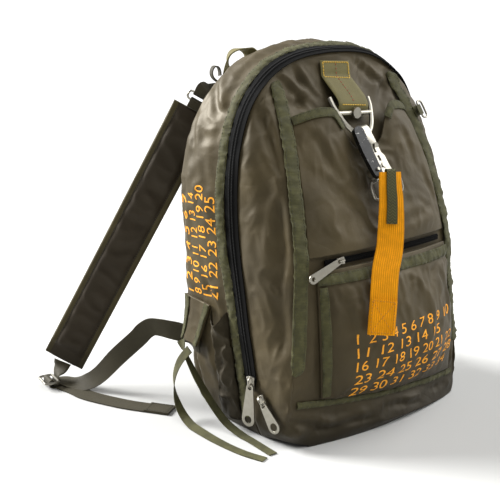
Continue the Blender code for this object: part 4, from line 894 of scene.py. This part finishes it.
class DAYPACK_OT_pockets(bpy.types.Operator):
    """Dress the front, slip and side pockets and the strap wings"""

    bl_idname = "daypack.pockets"
    bl_label = "Daypack Pockets"

    def execute(self, context):
        bound = search_tree(
            "pocket_top_binding", "pocket_side_binding", "slip_binding_left", "slip_binding_right",
        )
        self.front_pocket(bound)
        self.slip_pocket(bound)
        for side, name in ((-1, "left"), (1, "right")):
            self.side_pocket(side, name)
            self.side_wing(side, name)
        return {"FINISHED"}

    def front_pocket(self, bound):
        """The filled pocket, gathered under its zip."""
        pocket = refined("front_pocket", "front_pocket_nylon", 3, LOOKS["nylon"])
        low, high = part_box("front_pocket")

        def pocket_move(point, normal):
            if normal.y > -0.1:
                return Vector((0, 0, 0))
            free = ease(bound.find_nearest(point)[3], 1 * MM, 10 * MM)
            rim = min(point.x - low.x, high.x - point.x, point.z - low.z, high.z - point.z)
            free *= ease(rim, 2 * MM, 14 * MM)
            x, _, z = point / MM
            gather = noise.noise(Vector((x / 7.0, 0.0, z / 45.0))) * 1.6 * MM * ease(z, 130, 195)
            soft = crumple(point, 60 * MM, 11) * 2.0 * MM
            small = crumple(point, 18 * MM, 12) * 0.7 * MM
            return normal * (gather + soft + small + crease_at("pocket", x, z) * MM) * free

        press_folds(pocket, pocket_move)
        finish_piece(pocket, "front_pocket")
        MADE["front_pocket"] = pocket

    def slip_pocket(self, bound):
        """The open pocket behind the hook, slack at its mouths."""
        slip = refined("slip_pocket", "slip_pocket_nylon", 3, LOOKS["nylon"])
        slip_low, slip_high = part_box("slip_pocket")

        def slip_move(point, normal):
            free = ease(bound.find_nearest(point)[3], 1 * MM, 14 * MM)
            x, _, z = point / MM
            free *= ease(min(abs(x - slip_low.x / MM), abs(slip_high.x / MM - x)), 1, 12) * ease(z, 226, 245)
            soft = (crumple(point, 70 * MM, 21, (1, 1, 0.6)) - 0.2) * 2.6 * MM
            small = crumple(point, 20 * MM, 22) * 0.8 * MM
            lift = (soft + small + crease_at("slip", x, z) * MM) * free
            return Vector((0, -1, 0.15)) * max(lift, -0.9 * MM - 4 * MM * ease(z, 300, 350))

        press_folds(slip, slip_move)
        finish_piece(slip, "slip_pocket")

    def side_pocket(self, side, name):
        """An open pocket that has collapsed into deep crumples."""
        # The collapsed pocket wears the darker copy of the nylon, which is painted shade.
        pouch = refined("side_pocket_" + name, "side_pocket_%s_nylon" % name, 3, LOOKS["dark_nylon"])

        def pouch_move(point, normal):
            free = ease(point.z, 18 * MM, 45 * MM)
            soft = max(crumple(point, 26 * MM, 31, (1, 1, 0.8)), -0.4) * 4.2 * MM
            small = crumple(point, 9 * MM, 32) * 0.6 * MM
            return Vector((side, -0.2, 0.1)) * (soft + small) * free

        press_folds(pouch, pouch_move)
        finish_piece(pouch, "side_pocket_" + name)

    def side_wing(self, side, name):
        """The sewn wing that carries a strap's webbing."""
        wing = refined("side_wing_" + name, "side_wing_%s_nylon" % name, 3, LOOKS["nylon"])

        def wing_move(point, normal):
            return Vector((side, 0, 0)) * crumple(point, 22 * MM, 41) * 0.35 * MM

        press_folds(wing, wing_move)
        finish_piece(wing, "side_wing_" + name)


# Tapes: the solid's node, thickness in mm, extra corner pairs at its ends, depth and pitch of its gathers and
# its crown in mm, and what it is sewn on
Tape = namedtuple("Tape", "node thick skipped depth pitch crown on")
TAPES = (
    Tape("zip_binding", 1.2, 0, 2.2, 5.0, 1.2, "body_front"),
    Tape("front_tape_left", 1.2, 0, 2.6, 6.0, 1.2, "body_front"),
    Tape("front_tape_right", 1.2, 0, 2.4, 6.0, 1.2, "body_front"),
    Tape("base_seam_binding", 1.4, 0, 2.0, 6.0, 1.0, "body_front"),
    Tape("pocket_top_binding", 1.1, 1, 2.2, 4.6, 1.2, "front_pocket"),
    Tape("pocket_side_binding", 1.1, 0, 2.2, 5.5, 1.0, "front_pocket"),
    Tape("slip_binding_left", 1.1, 0, 1.0, 6.0, 0.4, "slip_pocket"),
    Tape("slip_binding_right", 1.1, 0, 1.0, 6.0, 0.4, "slip_pocket"),
    Tape("wing_binding_back_left", 1.1, 0, 0.6, 5.0, 0.3, "side_wing_left"),
    Tape("wing_binding_back_right", 1.1, 0, 0.6, 5.0, 0.3, "side_wing_right"),
    Tape("wing_binding_front_left", 1.1, 0, 0.6, 5.0, 0.3, "side_wing_left"),
    Tape("wing_binding_front_right", 1.1, 0, 0.6, 5.0, 0.3, "side_wing_right"),
)


class DAYPACK_OT_tapes(bpy.types.Operator):
    """Lay the gathered binding tapes with their edge stitching"""

    bl_idname = "daypack.tapes"
    bl_label = "Daypack Tapes"

    def execute(self, context):
        for seed, tape in enumerate(TAPES):
            left, right = strip_edges(tape.node, tape.thick * MM, tape.skipped)
            lay = lay_of(left, right, 1.8 * MM, share=0.86 if "front_tape" in tape.node else 1.0)
            shape = ripple(tape.depth * MM, tape.pitch * MM, seed)
            obj = strip_mesh(
                tape.node + "_tape", lay, tape.thick * MM, [LOOKS["tape"]], 9, shape, tape.crown * MM,
            )
            finish_piece(obj, tape.node)
            spots = []
            for share in (-TAPE_SEAM, TAPE_SEAM):
                row = seam_spots(lay, share, tape.thick / 2 * MM + tape.crown * MM * (1 - share * share))
                for index, (point, direction, normal) in enumerate(row):
                    lift = shape((index + 0.5) * STITCH_PITCH, share)
                    spots.append((point + normal * lift, direction, normal))
            thread = string_beads(
                tape.node + "_stitches", spots, trim().stitch, 0.32 * MM, LOOKS["dark_thread"],
            )
            trim_piece(thread)
        return {"FINISHED"}


class DAYPACK_OT_zips(bpy.types.Operator):
    """Lay the zip tapes and wind their coils"""

    bl_idname = "daypack.zips"
    bl_label = "Daypack Zips"

    def execute(self, context):
        for node, thick, rows, on in (
            ("main_zip", 1.2, (-0.22, 0.22), "body_front"), ("pocket_zip", 1.6, (-0.3, 0.3), "front_pocket"),
        ):
            left, right = strip_edges(node, thick * MM)
            lay = lay_of(left, right, 2.0 * MM)
            obj = strip_mesh(node + "_tape", lay, thick * MM, [LOOKS["zip_tape"]], 7, None, 0.3 * MM)
            finish_piece(obj, node)
            pitch = trim().tooth
            spots = []
            for k in range(int(lay.along[-1] / pitch) - 1):
                for share in rows:
                    shift = 0.0 if share < 0 else pitch / 2
                    along = (k + 0.6) * pitch + shift
                    point, direction, across, normal = at_lay(lay, along, share, thick / 2 * MM + COIL_LIFT)
                    spots.append((point, (across + direction * 0.25).normalized(), normal))
            coil = string_beads(node + "_coil", spots, 3.0 * MM, 0.62 * MM, LOOKS["coil"], 6)
            trim_piece(coil)
        return {"FINISHED"}


# Webbings: node, thickness in mm, finish, slot, a point near the start in mm, the way that its face looks,
# how it is held and what holds it.  A tie is a free flat cord.
Web = namedtuple("Web", "node thick look slot start out held on")
WEBBINGS = (
    Web("hanger_webbing", 1.6, "webbing", "olive_tape", (-2, -10, 430), (0, -1, 0.5), "hung", "body_front"),
    Web("keeper_webbing", 1.2, "keeper", "olive_tape", (-8, -122, 245), (0, -1, 0), "laid", "pull_webbing"),
    Web("pull_webbing", 1.8, "pull", "orange_webbing", (-3, -113, 307), (0, -1, 0), "hung", "hook_bail"),
    Web(
        "pull_tab_end", 1.2, "pull", "orange_webbing", (-40, -144, 168), (0, -1, 0), "folded", "pull_webbing",
    ),
    Web("carry_handle", 1.6, "webbing", "olive_tape", (-80, 89, 410), None, "hung", "body_rear"),
    Web("hang_loop", 1.4, "strap", "dark_olive_webbing", (-99, 86, 406), None, "folded", "body_rear"),
    Web("side_ring_loop", 1.2, "tape", "olive_tape", (118, -47, 371), None, "folded", "body_front"),
    Web("anchor_webbing_left", 1.6, "strap", "dark_olive_webbing", None, None, "stretched", "body_rear"),
    Web("anchor_webbing_right", 1.6, "strap", "dark_olive_webbing", None, None, "stretched", "body_rear"),
    Web("pad_top_loop_left", 1.6, "strap", "dark_olive_webbing", None, None, "folded", "shoulder_pad_left"),
    Web("pad_top_loop_right", 1.6, "strap", "dark_olive_webbing", None, None, "folded", "shoulder_pad_right"),
    Web("buckle_loop_left", 1.2, "strap", "dark_olive_webbing", None, None, "folded", "shoulder_pad_left"),
    Web("buckle_loop_right", 1.2, "strap", "dark_olive_webbing", None, None, "folded", "shoulder_pad_right"),
    Web(
        "strap_webbing_left", 1.6, "strap", "dark_olive_webbing", (-172, 60, 95), (0, 0, 1),
        "laid", "buckle_left",
    ),
    Web(
        "strap_webbing_right", 1.6, "strap", "dark_olive_webbing", (190, 60, 95), (0, 0, 1),
        "laid", "buckle_right",
    ),
    Web("tie_left_flat", 1.0, "tape", "olive_tape", (-176, 60, 97), (-1, 0, 0.3), "cord", "side_wing_left"),
    Web("tie_left_bowed", 1.0, "tape", "olive_tape", (-178, 38, 92), (-1, 0, 0.3), "cord", "side_wing_left"),
    Web("tie_right_flat", 1.0, "tape", "olive_tape", (193, 56, 97), (1, 0, 0.3), "cord", "side_wing_right"),
    Web("tie_right_bowed", 1.0, "tape", "olive_tape", (199, 38, 95), (1, 0, 0.3), "cord", "side_wing_right"),
)


class DAYPACK_OT_webbings(bpy.types.Operator):
    """Lay the webbings, ties and pull with their box stitches"""

    bl_idname = "daypack.webbings"
    bl_label = "Daypack Webbings"

    def execute(self, context):
        for seed, web in enumerate(WEBBINGS):
            left, right = strip_edges(web.node, web.thick * MM)
            lay = lay_of(left, right, 1.5 * MM, web.start, web.out)
            shape = ripple(0.12 * MM, 30 * MM, seed + 40, 1.0)
            obj = strip_mesh(web.node + "_woven", lay, web.thick * MM, [LOOKS[web.look]], 9, shape)
            finish_piece(obj, web.node)
            MADE[web.node] = lay
            if web.held == "cord":
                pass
            else:
                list(self.sewing(web.node, lay))
        self.fold_tail("left")
        self.fold_tail("right")
        return {"FINISHED"}

    def sewing(self, node, lay):
        """The pieces of thread on one webbing."""
        if node == "hanger_webbing":
            return self.sew_hanger(lay)
        if node == "pull_tab_end":
            return self.sew_tab(lay)
        if node == "keeper_webbing":
            return self.sew_keeper(lay)
        return []

    def fold_tail(self, side):
        """The strap's free end is folded over once and sewn with a box."""
        lay = MADE["strap_webbing_" + side]
        thick = 1.6 * MM
        kept = lay.along > lay.along[-1] - 34 * MM
        up = 1.0 if lay.normal[-1][2] > 0 else -1.0
        normal = lay.normal[kept] * up
        flap = Lay(
            lay.centre[kept] + normal * (thick + 0.1 * MM), lay.across[kept] * up, normal,
            lay.half[kept] * 0.99, lay.along[kept] - lay.along[kept][0],
        )
        obj = strip_mesh("strap_tail_fold_" + side, flap, thick, [LOOKS["strap"]], 9)
        trim_piece(obj)
        lift = thick / 2 + 0.15 * MM
        end = flap.along[-1]
        spots = box_spots(flap, 2 * MM, end - 2 * MM, 0.82, lift, 1 * MM)
        thread = string_beads(
            "strap_tail_stitches_" + side, spots, trim().stitch, 0.4 * MM, LOOKS["dark_thread"],
        )
        trim_piece(thread)

    def sew_hanger(self, lay):
        """A gold box at the top, a gold row at the ring and a red dashed line between."""
        lift = 0.95 * MM
        box_end = 21 * MM
        gold = box_spots(lay, 2 * MM, box_end, 0.86, lift)
        length = lay.along[-1]
        gold += cross_spots(lay, length * 0.70, -0.8, 0.8, lift)
        box = string_beads("hanger_gold_stitches", gold, 3.2 * MM, 0.7 * MM, LOOKS["gold_thread"])
        trim_piece(box)
        red = seam_spots(lay, 0.0, lift, 2 * MM, length * 0.68, 5.0 * MM)
        dashes = string_beads("hanger_red_stitches", red, trim().stitch, 0.55 * MM, LOOKS["red_thread"])
        trim_piece(dashes)
        return [box, dashes]

    def sew_tab(self, tab):
        """A box with a cross in it."""
        lift = 0.75 * MM
        end = tab.along[-1]
        spots = box_spots(tab, 2 * MM, end - 2 * MM, 0.84, lift, 0.5 * MM)
        spots += slanted_spots(tab, 2.5 * MM, end - 2.5 * MM, -0.84, 0.84, lift)
        spots += slanted_spots(tab, 2.5 * MM, end - 2.5 * MM, 0.84, -0.84, lift)
        thread = string_beads("pull_box_stitches", spots, trim().stitch, 0.5 * MM, LOOKS["orange_thread"])
        trim_piece(thread)
        return [thread]

    def sew_keeper(self, keeper):
        """Two dark rows across the keeper."""
        spots = cross_spots(keeper, 4 * MM, -0.9, 0.9, 0.75 * MM, 2.6 * MM)
        spots += cross_spots(keeper, 24 * MM, -0.9, 0.9, 0.75 * MM, 2.6 * MM)
        thread = string_beads("keeper_stitches", spots, 2.0 * MM, 0.32 * MM, LOOKS["dark_thread"])
        trim_piece(thread)
        return [thread]


# The filled shoulder straps: where the top loop and the end are in mm, and the strap's sideways axis
Pad = namedtuple("Pad", "name top end across")
PADS = (
    Pad("left", (-119, 100, 378), (-250.5, 239.5, 35), (0.62, -0.50, -0.55)),
    Pad("right", (92, 104, 372), (92, 124, 34), (-0.98, -0.2, 0)),
)

# Half the width, the thickness, the flat end tab, and how far past its loop a strap starts, in mm
PAD_HALF = 28.0
PAD_THICK = 12.0
PAD_TAB = 16.0
PAD_START = 8.0
PAD_WRINKLES = {"left": 51, "right": 57}


class DAYPACK_OT_pads(bpy.types.Operator):
    """Fill and bind the shoulder straps"""

    bl_idname = "daypack.pads"
    bl_label = "Daypack Shoulder Straps"

    def execute(self, context):
        edging = [c * 1.2 for c in trim().strap]
        binding = woven_nylon("nylon_strap_binding", edging, [c * 0.6 for c in edging], 0.6)
        for pad in PADS:
            lay = self.line(pad)
            obj = self.fill(pad, lay, binding)
            finish_piece(obj, "shoulder_pad_" + pad.name)
            spots = []
            for share in (-TAPE_SEAM, TAPE_SEAM):
                for side in (-1, 1):
                    row = seam_spots(lay, share, 0.0, 4 * MM, lay.along[-1] - PAD_TAB * MM)
                    for point, direction, normal in row:
                        spots.append((point + normal * side * 3.4 * MM, direction, normal))
            thread = string_beads(
                "shoulder_pad_%s_stitches" % pad.name, spots, trim().stitch, 0.3 * MM, LOOKS["dark_thread"],
            )
            trim_piece(thread)
        return {"FINISHED"}

    def line(self, pad):
        """The strap's even stations, bowed a little outwards."""
        top = Vector(pad.top)
        end = Vector(pad.end)
        axis = (end - top).normalized()
        across = Vector(pad.across)
        across = (across - axis * across.dot(axis)).normalized()
        out = across.cross(axis).normalized()
        if out.z < 0:
            out = -out
        start = top + axis * PAD_START
        path = [start, start.lerp(end, 0.3) + out * 4.0, start.lerp(end, 0.62) + out * 6.0, end]
        left = [(spot - across * PAD_HALF) * MM for spot in path]
        right = [(spot + across * PAD_HALF) * MM for spot in path]
        return lay_of(left, right, 2.5 * MM, None, out)

    def fill(self, pad, lay, binding):
        """Foam core between two stitched edges, with compression wrinkles and a flat end tab."""
        columns = 23
        shares = [math.sin(math.radians(90 * s)) for s in np.linspace(-1, 1, columns)]
        length = lay.along[-1]
        points = []
        loop = [(s, 1) for s in shares] + [(s, -1) for s in shares[::-1][1:-1]]
        size = len(loop)
        for i, spot in enumerate(lay.centre):
            along = lay.along[i]
            thin = ease(along, 0, 26 * MM) * (1 - ease(along, length - 24 * MM, length - 15 * MM))
            for share, side in loop:
                edge = abs(share)
                core = PAD_THICK / 2 * MM * (0.32 + 0.68 * thin) * (1 - ease(edge, 0.55, 0.74) * 0.62)
                rim = math.sqrt(max(0.0, 1 - max(0.0, (edge - 0.86) / 0.14) ** 2))
                bulge = 1.0 + 0.25 * ease(edge, 0.76, 0.88)
                place = Vector((along, share * 0.02, side * 0.3))
                wrinkle = crumple(place, 24 * MM, PAD_WRINKLES[pad.name]) * 3.0 * MM
                wrinkle *= (1 - ease(edge, 0.5, 0.8)) * thin
                bend = math.exp(-((along - 0.30 * length) / (9 * MM)) ** 2) * (-3.0 * MM) * (1 - edge * 0.4)
                lift = side * (core * rim * bulge + (wrinkle * 0.5 + bend * 0.5) * rim)
                points.append(spot + lay.across[i] * share * lay.half[i] + lay.normal[i] * lift)
        faces = []
        kinds = []
        for k in range(len(lay.centre) - 1):
            for i in range(size):
                j = (i + 1) % size
                faces.append((k * size + i, (k + 1) * size + i, (k + 1) * size + j, k * size + j))
                mean = (abs(loop[i][0]) + abs(loop[j][0])) / 2
                kinds.append(1 if mean > 0.74 else 0)
        last = (len(lay.centre) - 1) * size
        faces.append(tuple(range(size)))
        faces.append(tuple(last + i for i in reversed(range(size))))
        kinds += [1, 1]
        obj = make_mesh("shoulder_pad_%s_filled" % pad.name, points, faces, [LOOKS["pad"], binding])
        for polygon, kind in zip(obj.data.polygons, kinds):
            polygon.material_index = kind
        face_outward(obj)
        return obj


HARDWARE = (
    "hook_body", "v_ring", "upper_slider", "upper_pull", "lower_slider", "lower_pull", "pocket_slider",
    "pocket_pull", "buckle_left", "buckle_right",
)
WIRE_RINGS = ("hook_bail", "side_ring", "anchor_ring_left", "anchor_ring_right")
PLATE_THICK = 0.35 * MM


class DAYPACK_OT_hardware(bpy.types.Operator):
    """Plate the hook, rings, buckles and sliders, with rounded edges"""

    bl_idname = "daypack.hardware"
    bl_label = "Daypack Hardware"

    def execute(self, context):
        for node in HARDWARE:
            self.polish(node, LOOKS["nickel"], "nickel_hardware", "bag")
        self.polish("hook_lever", LOOKS["lever"], "black_lever", "lever")
        for node in WIRE_RINGS:
            obj = refined(node, node + "_wire", 2, LOOKS["nickel"], 80.0)
            finish_piece(obj, node)
        return {"FINISHED"}

    def polish(self, node, material, slot_name, body):
        """A casting or pressing with its own flats and softly rounded edges."""
        work = welded(node)
        bmesh.ops.dissolve_limit(
            work, angle_limit=math.radians(2), verts=work.verts[:], edges=work.edges[:],
        )
        if node == "v_ring":
            for vertex in work.verts:
                vertex.co += vertex.normal * PLATE_THICK
        mesh = bpy.data.meshes.new(node + "_plated")
        work.to_mesh(mesh)
        work.free()
        mesh.materials.append(material)
        mesh.shade_smooth()
        mesh.set_sharp_from_angle(angle=math.radians(38))
        obj = bpy.data.objects.new(node + "_plated", mesh)
        bpy.context.scene.collection.objects.link(obj)
        bevel = obj.modifiers.new("rounded edges", "BEVEL")
        bevel.width = metal().edge if node not in ("pocket_pull", "pocket_slider") else metal().edge / 2
        bevel.segments = 3
        bevel.limit_method = "ANGLE"
        bevel.angle_limit = math.radians(40)
        finish_piece(obj, node, body)


# Plain counting numbers stand where the bag is printed.  A print starts at its first row's left end, across
# being X on the front and Y on the side; slope is its rise or drift along a row.  All in mm.
Print = namedtuple("Print", "across up pitch slope height")
FRONT_PRINT = Print(across=-65, up=120, pitch=16.4, slope=0.028, height=11.8)
SIDE_PRINT = Print(across=51, up=158, pitch=15.6, slope=0.05, height=12.6)
PRINT_CUT = 1.6
PRINT_LIFT = 0.22
OUTSIDE = 300

# The figures of each row, and the row's width in mm
FRONT_ROWS = (
    ("1 2 3 4 5 6 7 8 9 10", 166.0), ("11 12 13 14 15", 139.0), ("16 17 18 19 20 21 22", 173.0),
    ("23 24 25 26 27 28", 178.0), ("29 30 31 32 33 34", 168.0),
)
SIDE_ROWS = (
    ("1 2 3 4 5 6 7", 118.0), ("8 9 10 11 12 13 14", 122.0), ("15 16 17 18 19 20", 132.0),
    ("21 22 23 24 25", 120.0),
)


class DAYPACK_OT_print(bpy.types.Operator):
    """Print rows of counting numbers on the front pocket and the left side"""

    bl_idname = "daypack.print"
    bl_label = "Daypack Print"

    def execute(self, context):
        pocket = tree_of(MADE["front_pocket"], MADE["body_front"])
        side = tree_of(MADE["body_rear"])
        for index, (figures, width) in enumerate(FRONT_ROWS):
            up = FRONT_PRINT.up - index * FRONT_PRINT.pitch

            def on_front(along, rise, up=up):
                height = up + rise + along * FRONT_PRINT.slope
                return Vector((FRONT_PRINT.across + along, -OUTSIDE, height)) * MM, Vector((0, 1, 0))

            self.row("front_print_%d" % (index + 1), figures, FRONT_PRINT.height, width, on_front, pocket)
        for index, (figures, width) in enumerate(SIDE_ROWS):
            across = SIDE_PRINT.across - index * SIDE_PRINT.pitch

            def on_side(along, rise, across=across):
                depth = across + rise + SIDE_PRINT.slope * along
                return Vector((-OUTSIDE, depth, SIDE_PRINT.up + along)) * MM, Vector((1, 0, 0))

            self.row("side_print_%d" % (index + 1), figures, SIDE_PRINT.height, width, on_side, side)
        return {"FINISHED"}

    def row(self, name, figures, height, width, place, ground):
        """One row of figures, cut fine enough to follow the cloth, and laid on it."""
        curve = bpy.data.curves.new(name, "FONT")
        curve.body = figures
        curve.size = 1.0
        obj = bpy.data.objects.new(name, curve)
        bpy.context.scene.collection.objects.link(obj)
        bpy.context.view_layer.update()
        mesh = bpy.data.meshes.new_from_object(obj.evaluated_get(bpy.context.evaluated_depsgraph_get()))
        bpy.data.objects.remove(obj)
        bpy.data.curves.remove(curve)
        work = bmesh.new()
        work.from_mesh(mesh)
        xs = [vertex.co.x for vertex in work.verts]
        ys = [vertex.co.y for vertex in work.verts]
        scale_x = width / (max(xs) - min(xs))
        scale_y = height / (max(ys) - min(ys))
        for vertex in work.verts:
            vertex.co = ((vertex.co.x - min(xs)) * scale_x, (vertex.co.y - min(ys)) * scale_y, 0)
        for step in range(1, int(width / PRINT_CUT)):
            self.cut(work, (step * PRINT_CUT, 0, 0), (1, 0, 0))
        for step in range(1, int(height / PRINT_CUT) + 1):
            self.cut(work, (0, step * PRINT_CUT, 0), (0, 1, 0))
        gone = []
        for vertex in work.verts:
            start, direction = place(vertex.co.x, vertex.co.y)
            found, normal, _, _ = ground.ray_cast(start, direction)
            if found is None:
                gone.append(vertex)
                continue
            vertex.co = found + normal * PRINT_LIFT * MM
        bmesh.ops.delete(work, geom=gone, context="VERTS")
        work.to_mesh(mesh)
        work.free()
        mesh.materials.clear()
        mesh.materials.append(LOOKS["ink"])
        mesh.name = name
        obj = bpy.data.objects.new(name, mesh)
        bpy.context.scene.collection.objects.link(obj)
        trim_piece(obj)

    def cut(self, work, point, direction):
        """Split the figures' faces along one plane."""
        bmesh.ops.bisect_plane(
            work, geom=work.verts[:] + work.edges[:] + work.faces[:], plane_co=point, plane_no=direction,
        )


# Wide soft lights: turn from the front to the right and tilt up in degrees, power, and width in degrees
Lamp = namedtuple("Lamp", "name turn tilt power width")
LAMPS = (
    Lamp("key_from_left", -146, 33, 9.6, 28),
    Lamp("light_from_right", 70, 38, 2.7, 56),
    Lamp("light_from_above", 25, 66, 1.7, 60),
)
CAMERA_PLACE = (-0.6645, -0.7029, 0.415)
FLOOR_REACH = 6.0
WHITE = (1.0, 1.0, 1.0, 1.0)
WORLD_LIGHT = 0.3
WORLD_SEEN = 1.2


def way_towards(turn, tilt):
    """The way towards a place at that turn from the front to the right and that tilt up, in degrees."""
    turn = math.radians(turn)
    tilt = math.radians(tilt)
    return Vector((math.sin(turn) * math.cos(tilt), -math.cos(turn) * math.cos(tilt), math.sin(tilt)))


class DAYPACK_OT_stage(bpy.types.Operator):
    """Set the camera, the soft lights and the floor"""

    bl_idname = "daypack.stage"
    bl_label = "Daypack Stage"

    def execute(self, context):
        scene = context.scene
        stage = scene.daypack_stage
        data = bpy.data.cameras.new("camera")
        data.lens = stage.lens
        data.sensor_width = 36.0
        data.clip_start = 0.02
        data.clip_end = 50.0
        camera = bpy.data.objects.new("camera", data)
        scene.collection.objects.link(camera)
        camera.location = CAMERA_PLACE
        camera.rotation_mode = "QUATERNION"
        camera.rotation_quaternion = (-way_towards(stage.azimuth, stage.pitch)).to_track_quat("-Z", "Y")
        scene.camera = camera
        for lamp in LAMPS:
            light = bpy.data.lights.new(lamp.name, "SUN")
            light.energy = lamp.power
            light.angle = math.radians(lamp.width)
            source = way_towards(lamp.turn, lamp.tilt)
            obj = bpy.data.objects.new(lamp.name, light)
            obj.location = source * 2.0
            obj.rotation_mode = "QUATERNION"
            obj.rotation_quaternion = source.to_track_quat("Z", "Y")
            scene.collection.objects.link(obj)
        scene.view_settings.view_transform = "Standard"
        world = bpy.data.worlds.new("white studio")
        world.use_nodes = True
        tree = world.node_tree
        background = tree.nodes["Background"]
        background.inputs[0].default_value = WHITE
        seen = add(tree, "ShaderNodeLightPath").outputs["Is Camera Ray"]
        tree.links.new(spread(tree, seen, 0.0, 1.0, WORLD_LIGHT, WORLD_SEEN), background.inputs[1])
        scene.world = world
        material, tree, shader = start_material("matt_white_paper", Roughness=0.9, Specular_IOR_Level=0.1)
        place = add(tree, "ShaderNodeTexCoord").outputs["Object"]
        grain = add(tree, "ShaderNodeTexNoise", {"Scale": per_mm(400.0)}, {"Vector": place})
        pale = stage.floor
        tree.links.new(
            mix_colours(tree, grain.outputs[0], pale, [c * 0.985 for c in pale]), shader.inputs["Base Color"],
        )
        corners = [(x * FLOOR_REACH, y * FLOOR_REACH, 0) for x, y in ((-1, -1), (1, -1), (1, 1), (-1, 1))]
        floor = make_mesh("floor", corners, [(0, 1, 2, 3)], [material])
        return {"FINISHED"}


class DAYPACK_PT_panel(bpy.types.Panel):
    """Lists the daypack's operators and settings"""

    bl_idname = "DAYPACK_PT_panel"
    bl_label = "Daypack"
    bl_space_type = "VIEW_3D"
    bl_region_type = "UI"
    bl_category = "Daypack"

    def draw(self, context):
        for operator in OPERATORS:
            self.layout.operator(operator.bl_idname)
        for name, group in SETTINGS.items():
            box = self.layout.box()
            box.label(text=group.__doc__)
            for field in group.__annotations__:
                box.prop(getattr(context.scene, name), field)


OPERATORS = (
    DAYPACK_OT_stage, DAYPACK_OT_materials, DAYPACK_OT_body, DAYPACK_OT_pockets, DAYPACK_OT_tapes,
    DAYPACK_OT_zips, DAYPACK_OT_webbings, DAYPACK_OT_pads, DAYPACK_OT_hardware, DAYPACK_OT_print,
)


# Blender's vector noise starts from the clock, so the folds need a fixed start
FOLD_SEED = 7


def register():
    noise.seed_set(FOLD_SEED)
    for kind in (*SETTINGS.values(), *OPERATORS, DAYPACK_PT_panel):
        bpy.utils.register_class(kind)
    for name, group in SETTINGS.items():
        setattr(bpy.types.Scene, name, bpy.props.PointerProperty(type=group))


def unregister():
    for name in SETTINGS:
        delattr(bpy.types.Scene, name)
    for kind in reversed((*SETTINGS.values(), *OPERATORS, DAYPACK_PT_panel)):
        bpy.utils.unregister_class(kind)


def main():
    register()
    for operator in OPERATORS:
        group, _, action = operator.bl_idname.partition(".")
        getattr(getattr(bpy.ops, group), action)()


if __name__ == "__main__":
    main()
